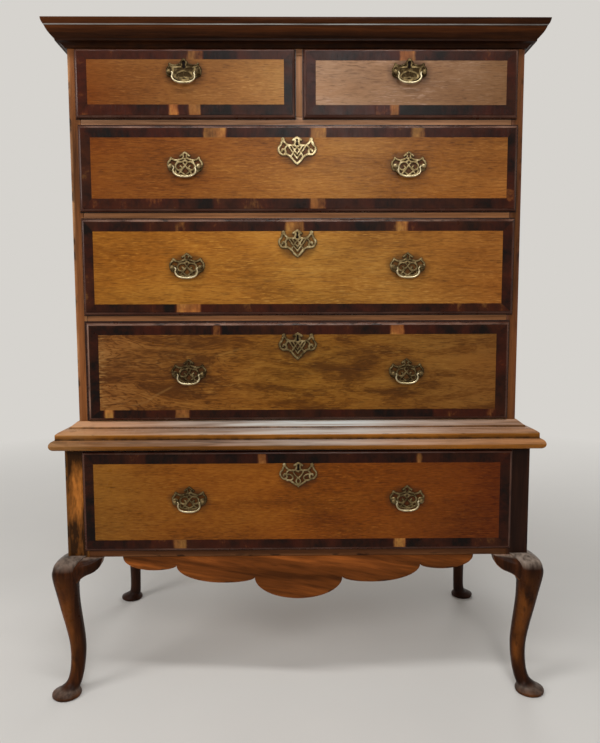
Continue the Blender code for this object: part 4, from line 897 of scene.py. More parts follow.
class Recipe(Mixer):
    """One finish being mixed."""

    def __init__(self, name, specular=0.35, metal=0.0):
        self.material = bpy.data.materials.new(name)
        self.material.use_nodes = True
        super().__init__(self.material.node_tree)
        self.shader = self.tree.nodes["Principled BSDF"]
        self.put(self.shader.inputs["Specular IOR Level"], specular)
        self.put(self.shader.inputs["Metallic"], metal)
        self.here = self.add("ShaderNodeTexCoord")["Object"]

    def vector(self, operation, first, second):
        """One operation on two vectors."""
        return self.add("ShaderNodeVectorMath", {0: first, 1: second}, operation=operation)[0]

    def value(self, label, output="Fac"):
        """A value that the mesh carries."""
        return self.add("ShaderNodeAttribute", attribute_name=label)[output]

    def noise(self, place, scale, detail=2.0, rough=0.5, output=0, twist=0.0):
        """Noise over a place stretched by three factors, or by one in all directions."""
        scale = scale if isinstance(scale, tuple) else (scale,) * 3
        sockets = {"Vector": self.vector("MULTIPLY", place, scale), "Scale": 1.0, "Detail": detail,
                   "Roughness": rough, "Distortion": twist}
        return self.add("ShaderNodeTexNoise", sockets)[output]

    def between(self, value, low, high, floor=0.0, ceiling=1.0):
        """Stretches a value from low to high over floor to ceiling and holds it there."""
        sockets = dict(enumerate((value, low, high, floor, ceiling)))
        return self.add("ShaderNodeMapRange", sockets, clamp=True)[0]

    def ramp(self, value, *stops):
        """Colours at their places along a value."""
        node = self.tree.nodes.new("ShaderNodeValToRGB")
        for _ in stops[2:]:
            node.color_ramp.elements.new(0.5)
        for element, (position, colour) in zip(node.color_ramp.elements, stops):
            element.position = position
            element.color = (*colour, 1.0)
        self.put(node.inputs[0], value)
        return node.outputs[0]

    def blend(self, factor, first, second, mode="MIX"):
        """Two colours mixed by a factor."""
        sockets = {0: factor, 6: first, 7: second}
        return self.add("ShaderNodeMix", sockets, data_type="RGBA", blend_type=mode)[2]

    def split(self, vector):
        """The three parts of a vector."""
        return self.add("ShaderNodeSeparateXYZ", {0: vector})

    def times(self, first, second):
        """The product of two values."""
        return self.maths("MULTIPLY", first, second)

    def apart(self, first, second):
        """How far two values lie apart."""
        return self.maths("ABSOLUTE", self.maths("SUBTRACT", first, second))

    def sum(self, *parts):
        """Values times their shares, added up."""
        total = 0.0
        for value, share in parts:
            total = self.maths("ADD", self.times(value, share), total)
        return total

    def finish(self, colour, roughness, height, strength, distance):
        """Puts colour, roughness and bump on the shader and gives the material."""
        bump = self.add("ShaderNodeBump", {"Strength": strength, "Distance": distance, "Height": height})[0]
        for label, value in (("Base Color", colour), ("Roughness", roughness), ("Normal", bump)):
            self.put(self.shader.inputs[label], value)
        return self.material


class Wood(Recipe):
    """A wood whose grain runs along one axis, with its streaks, lines, pores and clouds as values to
    colour by."""

    def __init__(self, name, grain, wave=0.006, streaks=38.0, specular=0.08, length=1.8, slant=0.0):
        super().__init__(name, specular)
        self.grain = grain
        shift = self.vector("MULTIPLY", self.value("shift", "Vector"), (3.1, 1.7, 2.3))
        self.place = self.vector("ADD", self.here, shift)
        if slant:
            sockets = {"Vector": self.place, "Rotation": (0.0, slant, 0.0)}
            self.place = self.add("ShaderNodeMapping", sockets)[0]
        sway = self.vector("SUBTRACT", self.noise(self.place, self.run(3.5, 8.0), output=1), (0.5, 0.5, 0.5))
        self.bent = self.vector("ADD", self.place, self.vector("MULTIPLY", sway, self.run(0.0, wave)))
        self.streak = self.noise(self.bent, self.run(length, streaks), 4.0, 0.62)
        self.line = self.noise(self.bent, self.run(4.0 * length, 4.5 * streaks), 2.0, 0.6)
        self.fibre = self.noise(self.bent, self.run(40.0, 1500.0), 1.0)
        self.pore = self.between(self.noise(self.bent, self.run(24.0, 620.0), 1.0), 0.60, 0.72)
        self.cloud = self.noise(self.place, self.run(1.6, 4.5))
        self.speck = self.noise(self.place, 55.0, 3.0)

    def run(self, along, across):
        """Three factors, one along the grain and the other across it."""
        return tuple(along if axis == self.grain else across for axis in (X, Y, Z))

    def aged(self, colour, worn_and_lit, worn_share=0.4, grime_and_shade_share=0.9, pale=None):
        """Pale places of painted sheen, lighter places from use and from painted highlights, dark nicks,
        darker places from soil and painted shade, and dark pores over a colour.
        """
        colour = self.blend(self.times(self.pore, 0.3), colour, NEAR_BLACK)
        # Pale places are a painted sheen
        if pale:
            streaky = self.between(self.sum((self.line, 0.5), (self.streak, 0.5)), 0.36, 0.58, 0.25, 1.0)
            colour = self.blend(self.times(self.value("pale"), streaky), colour, screen(*pale))
        # Lighter where the mesh says: use, and painted highlights on lips, leg streaks and arrises
        edge = self.value("wear")
        chance = self.between(self.noise(self.place, self.run(9.0, 30.0), 3.0), 0.40, 0.62, 0.1, 1.0)
        colour = self.blend(self.times(self.times(edge, worn_share), chance), colour, screen(*worn_and_lit))
        nick = self.between(self.noise(self.place, self.run(28.0, 60.0)), 0.57, 0.66, 0.0, 0.85)
        colour = self.blend(self.times(edge, nick), colour, NEAR_BLACK)
        # Darker where the mesh says: soil, and painted shade in creases, under the mouldings and in the gaps
        # round the drawers
        held = self.between(self.speck, 0.35, 0.65, 0.7 * grime_and_shade_share, grime_and_shade_share)
        return self.blend(self.times(self.value("grime"), held), colour, NEAR_BLACK)

    def done(self, colour, polish=(0.30, 0.48)):
        """Roughness from the clouds and specks, bump from fibres, pores and streaks."""
        height = self.maths("SUBTRACT", self.maths("ADD", self.fibre, self.line), self.pore)
        sheen = self.sum((self.cloud, 0.6), (self.speck, 0.4))
        roughness = self.between(sheen, 0.35, 0.65, *polish)
        return self.finish(colour, roughness, height, strength=0.22, distance=0.0004)


FINISHES = {}


def kept(make):
    """Makes each finish once and keeps it by its name."""
    def make_or_reuse(name, *values, **settings):
        if name not in FINISHES:
            FINISHES[name] = make(name, *values, **settings)
        return FINISHES[name]
    return make_or_reuse


@kept
def plain_wood(name, grain, colours, worn_and_lit, contrast=0.16, polish=(0.30, 0.48), wave=0.006, streaks=38.0,
               specular=0.08, worn_share=0.4, pale=None, slant=0.0, glow=None):
    """Solid wood of three colours from dark to light, lighter round one place where it glows."""
    wood = Wood(name, grain, wave, streaks, specular, slant=slant)
    mixed = wood.sum((wood.streak, 0.5), (wood.line, 0.22), (wood.cloud, 0.28))
    value = wood.between(mixed, 0.5 - contrast, 0.5 + contrast)
    if glow:
        middle, height, reach = glow
        across, _, up = wood.split(wood.bent)
        flame = wood.noise(wood.bent, wood.run(22.0, 75.0), 3.0, 0.6)
        value = wood.maths("ADD", value, wood.between(wood.apart(up, height), 0.0, reach, 0.42, -0.40))
        value = wood.maths("ADD", value, wood.between(wood.apart(across, middle), 0.007, 0.022, 0.1, -0.45))
        value = wood.maths("ADD", value, wood.between(flame, 0.32, 0.68, -0.42, 0.42), clamp=True)
    colour = wood.ramp(value, *zip((0.0, 0.5, 1.0), colours))
    return wood.done(wood.aged(colour, worn_and_lit, worn_share, pale=pale), polish)


def solid_wood(kind, grain):
    """One of the solid woods, with its grain along an axis: a dark, a middle and a light shade of its
    colour."""
    label, factors, worn_and_lit, settings = WOODS[kind]
    colour = getattr(bpy.context.scene.chest_colours, label)
    shades = [tuple(min(1.0, part * factor) for part in colour) for factor in factors]
    return plain_wood(f"{kind}_{'xyz'[grain]}", grain, shades, worn_and_lit, **settings)


@kept
def crossband(name, grain, colours):
    """Crossband veneer: each piece has its own tone, from near black to a light brown, with soft blotches
    over it, ragged joints and faint streaks across the band."""
    wood = Wood(name, grain, wave=0.006, streaks=34.0, specular=0.10)
    blotch = wood.noise(wood.place, wood.run(20.0, 26.0), 3.0, 0.55)
    mottle = wood.noise(wood.place, wood.run(90.0, 150.0), 3.0, 0.65)
    mixed = wood.sum((wood.streak, 0.12), (wood.line, 0.06), (blotch, 0.60), (mottle, 0.22))
    spread = wood.times(wood.maths("SUBTRACT", mixed, 0.5), 1.5)
    value = wood.maths("ADD", wood.value("tone"), spread, clamp=True)
    colour = wood.ramp(value, *zip((0.0, 0.42, 0.74, 1.0), colours))
    patch = wood.noise(wood.place, wood.run(14.0, 11.0))
    hue = wood.ramp(patch, (0.35, (1.06, 0.84, 0.80)), (0.65, (0.94, 1.04, 0.96)))
    colour = wood.blend(1.0, colour, hue, "MULTIPLY")
    return wood.done(wood.aged(colour, worn_and_lit=(120, 72, 40), worn_share=0.2), polish=(0.26, 0.38))


def with_veins(wood, colour):
    """Pale veins over a colour: by the distance aside from the line of each, and along it past its middle."""
    moved = wood.vector("SUBTRACT", wood.place, wood.here)
    bent_x, _, bent_z = wood.split(wood.vector("SUBTRACT", wood.bent, moved))
    for (start_x, start_z), (end_x, end_z) in PALE_VEINS:
        length = math.hypot(end_x - start_x, end_z - start_z)
        way_x, way_z = (end_x - start_x) / length, (end_z - start_z) / length
        off_x, off_z = wood.maths("SUBTRACT", bent_x, start_x), wood.maths("SUBTRACT", bent_z, start_z)
        aside = wood.maths("ABSOLUTE", wood.sum((off_x, -way_z), (off_z, way_x)))
        past = wood.apart(wood.sum((off_x, way_x), (off_z, way_z)), length / 2)
        vein = wood.times(wood.between(aside, 0.0008, 0.0036, 0.34, 0.0),
                          wood.between(past, 0.3 * length, 0.55 * length, 1.0, 0.0))
        colour = wood.blend(vein, colour, screen(186, 138, 76))
    return colour


def with_halo(wood, colour, across, up, size):
    """A dark ragged halo over a colour, by the squares of the distances across and up in half sizes."""
    wide, high = (wood.maths("DIVIDE", away, half) for away, half in zip((across, up), size))
    level, upright = (wood.maths("POWER", wood.maths("ABSOLUTE", part), 2.0) for part in (wide, high))
    reach = wood.maths("ADD", level, upright)
    ragged = wood.maths("ADD", reach, wood.times(wood.maths("SUBTRACT", wood.speck, 0.5), 0.8))
    return wood.blend(wood.between(ragged, 0.45, 1.35, 0.72, 0.0), colour, screen(52, 28, 10))


@kept
def oak_field(name, colours, wave, streaks, length, contrast, arches, tint, handle_up, lock_up):
    """Oak of a drawer front with level grain, short dark and light flecks, and dark arches where it is
    figured: lines of equal height of a slow noise. The colour shifts from left to right, partly painted sheen
    and shade, and a dark halo lies round the brass, by the distance from each handle and from the
    escutcheon: old polish, and painted shade under the pierced brass."""
    wood = Wood(name, X, wave, streaks, specular=0.11, length=length)
    x, _, z = wood.split(wood.here)
    fleck = wood.noise(wood.bent, wood.run(62.0, 400.0), 2.0, 0.6)
    mood = wood.noise(wood.place, wood.run(6.0, 17.0) if arches else wood.run(4.0, 9.0), 3.0, 0.55)
    value = wood.sum((wood.streak, 0.16), (fleck, 0.36), (mood, 0.48))
    value = wood.between(value, 0.5 - contrast, 0.5 + contrast)
    if arches:
        swirl = wood.noise(wood.place, (7.0, 1.0, 24.0), 3.0, 0.5, twist=1.3)
        ring = wood.between(wood.maths("PINGPONG", wood.times(swirl, 10.0), 0.5), 0.0, 0.20, arches, 0.0)
        figured = wood.times(wood.between(x, -0.10, -0.26, 0.30, 1.0),
                             wood.between(mood, 0.34, 0.52, 0.4, 1.0))
        value = wood.maths("SUBTRACT", value, wood.times(ring, figured))
        value = wood.maths("ADD", value, wood.between(swirl, 0.36, 0.64, -0.34, 0.34), clamp=True)
    colour = wood.ramp(value, *zip((0.0, 0.45, 1.0), colours))
    if arches:
        colour = with_veins(wood, colour)
        torn = wood.between(wood.noise(wood.place, wood.run(40.0, 260.0), 2.0, 0.6), 0.50, 0.58, 0.0, 0.6)
        colour = wood.blend(wood.times(torn, wood.between(x, -0.428, -0.444)), colour, screen(214, 160, 84))
    where = wood.between(wood.noise(wood.place, wood.run(9.0, 30.0)), 0.44, 0.62)
    dash = wood.between(wood.noise(wood.bent, wood.run(56.0, 420.0), 2.0, 0.6), 0.55, 0.68, 0.0, 0.40)
    colour = wood.blend(wood.times(dash, where), colour, screen(206, 150, 80))
    gap = wood.between(wood.noise(wood.bent, wood.run(48.0, 400.0), 2.0, 0.6), 0.43, 0.31, 0.0, 0.5)
    colour = wood.blend(wood.times(gap, wood.maths("SUBTRACT", 1.0, where)), colour, screen(66, 34, 9))
    slow = wood.noise(wood.place, wood.run(2.4, 7.0))
    warmth = wood.ramp(slow, (0.3, (1.0, 0.90, 0.72)), (0.7, (0.97, 1.05, 1.1)))
    place = wood.between(wood.maths("ADD", x, wood.times(wood.cloud, 0.12)), -0.44, 0.56)
    # The drift holds painted sheen and painted shade besides the oak's own colour
    drift = wood.ramp(place, *zip((0.0, 0.5, 1.0), tint))
    colour = wood.blend(1.0, wood.blend(1.0, colour, warmth, "MULTIPLY"), drift, "MULTIPLY")
    aside = wood.maths("SUBTRACT", wood.maths("ABSOLUTE", x), HANDLE_PLACE)
    above = wood.maths("SUBTRACT", z, handle_up + HANDLE_HALO_RISE)
    colour = with_halo(wood, colour, aside, above, HANDLE_HALO)
    if lock_up:
        colour = with_halo(wood, colour, x, wood.maths("SUBTRACT", z, lock_up), LOCK_HALO)
    return wood.done(wood.aged(colour, worn_and_lit=(170, 120, 70)), polish=(0.27, 0.40))


@kept
def brass(name, bright, middle, dull, polish):
    """Aged brass: bright where use has polished it, olive and brown where it is dirty, by noise and the depth
    of the relief."""
    metal = Recipe(name, specular=0.5, metal=1.0)
    cloud, speck = metal.noise(metal.here, 85.0, 4.0, 0.6), metal.noise(metal.here, 420.0, 2.0, 0.6)
    stain = metal.sum((cloud, 0.75), (speck, 0.25))
    low = metal.sum((metal.value("grime"), 0.16), (metal.value("patina"), 0.24))
    value = metal.between(metal.maths("SUBTRACT", stain, low), 0.16, 0.62)
    colour = metal.ramp(value, (0.0, dull), (0.5, middle), (1.0, bright))
    roughness = metal.between(value, 0.0, 1.0, *reversed(polish))
    return metal.finish(colour, roughness, stain, strength=0.25, distance=0.0006)


def plate_brass():
    """The brass of plates and escutcheons."""
    middle = bpy.context.scene.chest_colours.plate
    return brass("plate_brass", screen(190, 174, 134), middle, screen(50, 38, 22), polish=(0.36, 0.6))


@kept
def dark_hole(name):
    """The dark inside of a keyhole: a sheet of painted shade that stands for the hole."""
    hole = Recipe(name, specular=0.1)
    # Mottle over the painted shade
    dust = hole.noise(hole.here, 300.0, 3.0)
    colour = hole.ramp(dust, (0.3, screen(10, 6, 4)), (0.8, screen(30, 19, 12)))
    roughness = hole.between(dust, 0.3, 0.7, 0.75, 0.95)
    return hole.finish(colour, roughness, dust, strength=0.3, distance=0.0004)


@kept
def pale_floor(name, colour):
    """A plain pale floor with a faint mottle, which fades into the pale ground away from the chest."""
    floor = Recipe(name, specular=0.2)
    mottle = floor.noise(floor.here, 2.5, 4.0)
    shade = floor.ramp(mottle, (0.3, [0.96 * part for part in colour]), (0.7, colour))
    roughness = floor.between(mottle, 0.3, 0.7, 0.7, 0.85)
    finished = floor.finish(shade, roughness, mottle, strength=0.05, distance=0.001)
    glow = floor.add("ShaderNodeEmission", {"Color": GROUND})[0]
    away = floor.add("ShaderNodeVectorMath", {0: floor.here}, operation="LENGTH")["Value"]
    far = floor.times(floor.between(away, 1.1, 3.4), floor.looked_at())
    mix = floor.add("ShaderNodeMixShader", {0: far, 1: floor.shader.outputs[0], 2: glow})[0]
    floor.put(floor.tree.nodes["Material Output"].inputs["Surface"], mix)
    return finished


def colour_property(name, description, seen):
    """A colour of the panel, given as a screen shows it."""
    return bpy.props.FloatVectorProperty(name=name, description=description, default=screen(*seen), size=3,
                                         min=0.0, max=1.0, subtype="COLOR")


def length_property(name, description, default):
    """A length of the panel, in metres."""
    return bpy.props.FloatProperty(name=name, description=description, default=default, min=0.0, soft_max=0.1,
                                   precision=4, subtype="DISTANCE", unit="LENGTH")


def angle_property(name, description, degrees):
    """An angle of the panel, given in degrees."""
    return bpy.props.FloatProperty(name=name, description=description, default=math.radians(degrees),
                                   subtype="ANGLE")


class ChestSizes(bpy.types.PropertyGroup):
    """Sizes of the details that lie over the solids."""
    board_edge: length_property("Board edge", "Radius of the worn edges of rails, sides and posts", 0.0016)
    moulding_edge: length_property("Moulding edge", "How far the mouldings' arrises are rounded", 0.0009)
    lip_width: length_property("Lip width", "Width of the rounded lip of the drawer fronts", 0.0055)
    plate_edge: length_property("Plate edge", "Thickness of the brass at its rim", 0.0010)
    plate_crown: length_property("Plate crown", "Thickness of the brass in the middle of its straps", 0.0022)
    bail_wire: length_property("Bail wire", "Radius of the bails", 0.0019)


class ChestColours(bpy.types.PropertyGroup):
    """Main colours of the woods and of the brass."""
    oak_dark: colour_property("Oak, dark", "Dark streaks of the drawer fronts", (104, 60, 20))
    oak: colour_property("Oak", "Main colour of the drawer fronts", (146, 92, 36))
    oak_light: colour_property("Oak, light", "Light streaks of the drawer fronts", (176, 120, 56))
    band_dark: colour_property("Band, dark", "Darkest pieces of the crossband", (15, 7, 4))
    band_red: colour_property("Band, red", "Common pieces of the crossband", (58, 24, 10))
    band_light: colour_property("Band, light", "Lightest pieces of the crossband", (190, 138, 68))
    case: colour_property("Case", "Walnut of the rails", (124, 80, 47))
    cornice: colour_property("Cornice", "Walnut of the cornice", (64, 32, 11))
    waist: colour_property("Waist", "Walnut of the waist moulding", (130, 78, 22))
    leg: colour_property("Leg", "Walnut of the front legs", (42, 19, 6))
    post: colour_property("Post", "Figured walnut of the left front post", (124, 74, 28))
    # Painted shade: the posts and legs away from the light are darker
    dark_post: colour_property("Dark post", "Walnut of the other posts and the back legs", (36, 18, 10))
    stand_rail: colour_property("Stand rail", "Walnut of the stand's rails", (82, 47, 24))
    side: colour_property("Side", "Walnut of the case sides and of the stand's sides", (120, 72, 38))
    apron: colour_property("Apron", "Walnut of the apron", (108, 57, 20))
    lining: colour_property("Lining", "Dry oak of the drawer boxes and the back", (150, 116, 78))
    plate: colour_property("Plate", "Aged brass of plates and escutcheons", (124, 106, 72))
    bail: colour_property("Bail", "Rubbed brass of the bails", (152, 136, 100))
    floor: colour_property("Floor", "The floor of the stage", (222, 219, 214))


class StageSettings(bpy.types.PropertyGroup):
    """The camera and the light."""
    camera: bpy.props.FloatVectorProperty(name="Camera", description="Place of the camera", size=3,
                                          subtype="XYZ", unit="LENGTH", default=(-0.011, -1.70125, 0.882))
    lens: bpy.props.FloatProperty(name="Lens", description="Focal length in millimetres on a 36 mm frame",
                                  default=31.494, min=10.0, max=200.0)
    tilt: angle_property("Tilt", "How far the camera looks down", 5.17)
    turn: angle_property("Turn", "How far the camera looks to the right", 0.62)
    roll: angle_property("Roll", "How far the camera leans", 0.18)
    room_light: bpy.props.FloatProperty(name="Room light", description="Strength of the even light all round",
                                        default=0.30, min=0.0, max=2.0)


class CHEST_OT_stage(bpy.types.Operator):
    """Makes the floor, the lamps, the light all round and the camera"""
    bl_idname = "chest.stage"
    bl_label = "Stage"

    def execute(self, context):
        self.lay_floor(context.scene)
        for lamp in LAMPS:
            self.hang_lamp(context.scene, *lamp)
        self.light_room(context.scene)
        self.set_camera(context.scene, context.scene.chest_stage)
        context.scene.view_settings.view_transform = "Standard"
        return {"FINISHED"}

    def lay_floor(self, scene):
        """A flat disc just under the feet: rings of equal spacing, their points by cosine and sine."""
        radius, angle = np.linspace(0, FLOOR_RADIUS, FLOOR_RINGS)[:, None], turns(FLOOR_SECTORS)[None]
        level = 0 * radius * angle - FLOOR_DROP
        points = np.stack((radius * np.cos(angle), radius * np.sin(angle), level), axis=-1)
        faces = grid_faces(FLOOR_RINGS, FLOOR_SECTORS, True)
        mesh = bpy.data.meshes.new("studio_floor")
        mesh.from_pydata(points.reshape(-1, 3).tolist(), [], faces.reshape(-1, 4).tolist())
        shape = bmesh.new()
        shape.from_mesh(mesh)
        bmesh.ops.remove_doubles(shape, verts=shape.verts, dist=WELD)
        shape.to_mesh(mesh)
        shape.free()
        mesh.materials.append(pale_floor("pale_floor", scene.chest_colours.floor))
        floor = bpy.data.objects.new("studio_floor", mesh)
        scene.collection.objects.link(floor)

    def hang_lamp(self, scene, name, place, size, power):
        """A round or long lamp that looks at the chest."""
        lamp = bpy.data.lights.new(name, "AREA")
        lamp.shape = "ELLIPSE"
        lamp.size, lamp.size_y = size
        lamp.energy = power
        holder = bpy.data.objects.new(name, lamp)
        holder.location = place
        holder.rotation_euler = (Vector(LIT_PLACE) - Vector(place)).to_track_quat("-Z", "Y").to_euler()
        scene.collection.objects.link(holder)

    def light_room(self, scene):
        """An even light, with a pale ground where the camera or a mirror looks straight at it."""
        world = bpy.data.worlds.new("studio")
        world.use_nodes = True
        scene.world = world
        room = Mixer(world.node_tree)
        room.tree.nodes.clear()
        strength = scene.chest_stage.room_light
        light = room.add("ShaderNodeBackground", {"Color": ROOM_COLOUR, "Strength": strength})[0]
        ground = room.add("ShaderNodeBackground", {"Color": GROUND})[0]
        mix = room.add("ShaderNodeMixShader", {0: room.looked_at(), 1: light, 2: ground})[0]
        room.add("ShaderNodeOutputWorld", {"Surface": mix})

    def set_camera(self, scene, settings):
        """The camera of the photo, turned right, tilted down and leant."""
        camera = bpy.data.cameras.new("photo_camera")
        camera.sensor_width = 36.0
        camera.lens = settings.lens
        holder = bpy.data.objects.new("photo_camera", camera)
        look = (Matrix.Rotation(-settings.turn, 4, "Z")
                @ Matrix.Rotation(QUARTER_TURN - settings.tilt, 4, "X")
                @ Matrix.Rotation(-settings.roll, 4, "Z"))
        holder.matrix_world = Matrix.Translation(settings.camera) @ look
        scene.collection.objects.link(holder)
        scene.camera = holder


class CHEST_OT_case_boards(bpy.types.Operator):
    """Makes the sides, rails, dividers, partition and top with edges that use has lightened"""
    bl_idname = "chest.case_boards"
    bl_label = "Case boards"

    def execute(self, context):
        edge = context.scene.chest_sizes.board_edge
        level, stand_level = solid_wood("case_walnut", X), solid_wood("stand_rail_walnut", X)

        def add(name, node, patches, *finishes):
            """One piece of the carcass in place of its solid."""
            make_piece(name, patches, finishes, "carcass", [node])

        for number, side in enumerate(("left", "right")):
            node = f"upper_{side}_side"
            add(f"case_{side}_board", node, [board(*corners(node), Z, edge, shift=1.7 * number)],
                solid_wood(f"{side}_side_walnut", Z))
        # pale is a painted sheen on the rails, most on the upper one
        for number, (name, pale) in enumerate((("lower", 0.1), ("middle", 0.1), ("upper", 0.5))):
            low, high = corners(f"{name}_divider")
            rail = board(low, (high[X], low[Y] + RAIL_DEPTH, high[Z]), X, edge, shift=0.9 + 0.7 * number,
                         pale=pale)
            dust = board((low[X], low[Y] + RAIL_DEPTH - OVERLAP, high[Z] - DUST_BOARD), high, X, INNER_EDGE,
                         shift=4.0 + number, finish=1)
            add(f"{name}_rail_and_dust_board", f"{name}_divider", [rail, dust], level,
                solid_wood("lining_oak", X))
        low, high = corners("centre_partition")
        # The muntin carries a painted sheen
        muntin = board(low, (high[X], low[Y] + MUNTIN_DEPTH, high[Z]), Z, edge, shift=5.3, pale=0.35)
        wall = board((-PARTITION / 2, low[Y] + MUNTIN_DEPTH - OVERLAP, low[Z]),
                     (PARTITION / 2, high[Y], high[Z]), Y, INNER_EDGE, shift=2.2, finish=1)
        add("muntin_and_partition", "centre_partition", [muntin, wall], solid_wood("case_walnut", Z),
            solid_wood("lining_oak", Y))
        rails = {"stand_top_rail": stand_level, "stand_bottom_rail": stand_level, "upper_top_rail": level}
        for number, (node, finish) in enumerate(rails.items()):
            add(f"{node}_board", node, [board(*corners(node), X, edge, shift=6.1 + 0.8 * number)], finish)
        add("case_top", "top_board", [board(*corners("top_board"), X, edge, shift=8.9)], level)
        for number, side in enumerate(("left", "right")):
            node = f"stand_{side}_side"
            add(f"{node}_board", node, [self.hanging_side(*corners(node), shift=11.3 + number)],
                solid_wood("stand_side_walnut", Y))
        return {"FINISHED"}

    def hanging_side(self, low, high, shift):
        """A side of the stand whose lower edge hangs down in the middle: by three squares less two cubes
        of the share of the way in from its level ends."""
        along = np.linspace(low[Y], high[Y], 90)
        half = (high[Y] - low[Y]) / 2
        share = np.clip(1 - np.abs(along - (low[Y] + high[Y]) / 2) / (half - SIDE_LEVEL), 0, 1)
        lower = low[Z] + SIDE_DROP - SIDE_DROP * (3 * share ** 2 - 2 * share ** 3)
        patch = shaped_board(along, lower, high[Z], low[X], high[X] - low[X], shift)
        patch.points = patch.points[:, (Y, X, Z)]
        return patch


class CHEST_OT_linings(bpy.types.Operator):
    """Finishes the plain boards that stay: drawer boxes, back, bottom and runners"""
    bl_idname = "chest.linings"
    bl_label = "Linings"

    def execute(self, context):
        grains = {"upper_bottom_board": X, "upper_back_boards": Z, "stand_back": X, "stand_left_runner": Y,
                  "stand_right_runner": Y}
        grains.update({f"{name}_drawer_box": Y for name in DRAWERS})
        for node, grain in grains.items():
            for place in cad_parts[node].material_slots:
                place.material = solid_wood("lining_oak", grain)
        return {"FINISHED"}


class CHEST_OT_mouldings(bpy.types.Operator):
    """Makes the cornice and the waist moulding with mitred corners"""
    bl_idname = "chest.mouldings"
    bl_label = "Mouldings"

    def execute(self, context):
        edge = context.scene.chest_sizes.moulding_edge
        low, high = corners("top_board")
        case = (high[X], low[Y], high[Y])
        bottom, top = (corner[Z] for corner in corners("cornice_moulding"))
        start, closing = (SEAT, bottom + CORNICE_LIFT), ((SEAT, top),)
        self.add("cornice", moulding(start, CORNICE_MEMBERS, closing, case, 0.5 * edge, shift=20.0,
                                     worn_and_lit_from=bottom + CORNICE_WORN_AND_LIT, ends=0.6))
        bottom, top = (corner[Z] for corner in corners("waist_moulding"))
        seat = corners("stand_top_rail")[1][Z] + SEAT
        ledge = corners("stand_right_side")[1][X] - high[X] + SEAT
        closing = ((SEAT, top), (SEAT, seat), (ledge, seat))
        self.add("waist", moulding((ledge, bottom), WAIST_MEMBERS, closing, case, 2.2 * edge, shift=18.0,
                                   worn_and_lit_from=bottom, ends=0.20, rubbed_and_lit=0.30))
        return {"FINISHED"}

    def add(self, name, patch):
        """One moulding, with its own grain along the front and along the sides."""
        finishes = [solid_wood(f"{name}_walnut", grain) for grain in (X, Y)]
        make_piece(f"{name}_run", [patch], finishes, "carcass", [f"{name}_moulding"],
                   crease=32.0)


class CHEST_OT_legs(bpy.types.Operator):
    """Makes the two cabriole front legs with their knee brackets and the two straight back legs"""
    bl_idname = "chest.legs"
    bl_label = "Legs"

    def execute(self, context):
        edge = context.scene.chest_sizes.board_edge
        # dark: painted shade on the posts and legs away from the light
        dark = solid_wood("dark_post_walnut", Z)
        half = np.array((POST / 2, POST / 2))
        outer = corners("stand_right_side")[1][X] - POST / 2
        front = corners("stand_top_rail")[0][Y] + POST / 2
        back = corners("stand_back")[1][Y] - POST / 2
        for number, (name, side) in enumerate((("front_left", -1), ("front_right", 1), ("back_left", -1),
                                               ("back_right", 1))):
            node = f"{name}_leg"
            in_front, figured = number < 2, number == 0
            centre = np.array((side * outer, front if in_front else back))
            stations = leg_stations(*((CABRIOLE_PAD, CABRIOLE) if in_front else (STRAIGHT_PAD, STRAIGHT_LEG)))
            lean = (side, -1 if in_front else 0)
            post = board((*(centre - half), LEG_HEIGHT), (*(centre + half), corners(node)[1][Z]), Z, edge,
                         shift=0.0 if figured else 21.0 + number, finish=1)
            patches = [leg(centre, lean, stations, shift=17.0 + 0.6 * number), post]
            for order in ((X, Y, Z), (Y, X, Z)) if in_front else ():
                # The right bracket carries more painted sheen
                knee = bracket(shift=24.0 + number + 0.5 * order[0], sheen=0.7 + 0.2 * side)
                knee.points = knee.points[:, order] * (-side, 1, 1) + (*centre, 0)
                patches.append(knee)
            finishes = [solid_wood("leg_walnut", Z) if in_front else dark,
                        solid_wood("figured_post_walnut", Z) if figured else dark]
            make_piece(f"{name}_cabriole" if in_front else f"{name}_turned_leg", patches, finishes, "carcass",
                       [node], crease=40.0)
        return {"FINISHED"}


class CHEST_OT_apron(bpy.types.Operator):
    """Makes the lobed apron under the front rail"""
    bl_idname = "chest.apron"
    bl_label = "Apron"

    def execute(self, context):
        low, high = corners("front_apron")
        patch = shaped_board(*apron_edge(), high[Z], low[Y], high[Y] - low[Y], shift=27.5)
        make_piece("lobed_apron", [patch], [solid_wood("apron_walnut", X)], "carcass",
                   ["front_apron"])
        return {"FINISHED"}


class CHEST_OT_drawer_fronts(bpy.types.Operator):
    """Makes the lipped oak drawer fronts with their walnut crossband"""
    bl_idname = "chest.drawer_fronts"
    bl_label = "Drawer fronts"

    def execute(self, context):
        lip, colours = context.scene.chest_sizes.lip_width, context.scene.chest_colours
        band = (colours.band_dark, colours.band_red, screen(134, 88, 44), colours.band_light)
        oak = (colours.oak_dark, colours.oak, colours.oak_light)
        edging = [crossband("crossband_upright", Z, band), crossband("crossband_level", X, band),
                  solid_wood("lip_walnut", X), solid_wood("lip_walnut", Z), solid_wood("lining_oak", X)]
        for name in DRAWERS:
            node = f"{name}_drawer_front"
            lock = None if is_short(name) else lock_height(name)
            field = oak_field(f"{name}_oak", oak, *OAK_LOOKS[name], handle_height(name), lock)
            make_piece(f"{name}_banded_front", [drawer_front(*corners(node), name, lip)], [field, *edging],
                       f"{name}_drawer", [node], crease=30.0)
        return {"FINISHED"}


def add_brass(name, drawer, node, patches):
    """A piece of pierced brass in place of its solid."""
    make_piece(name, patches, [plate_brass()], f"{drawer}_drawer", [node], crease=50.0)


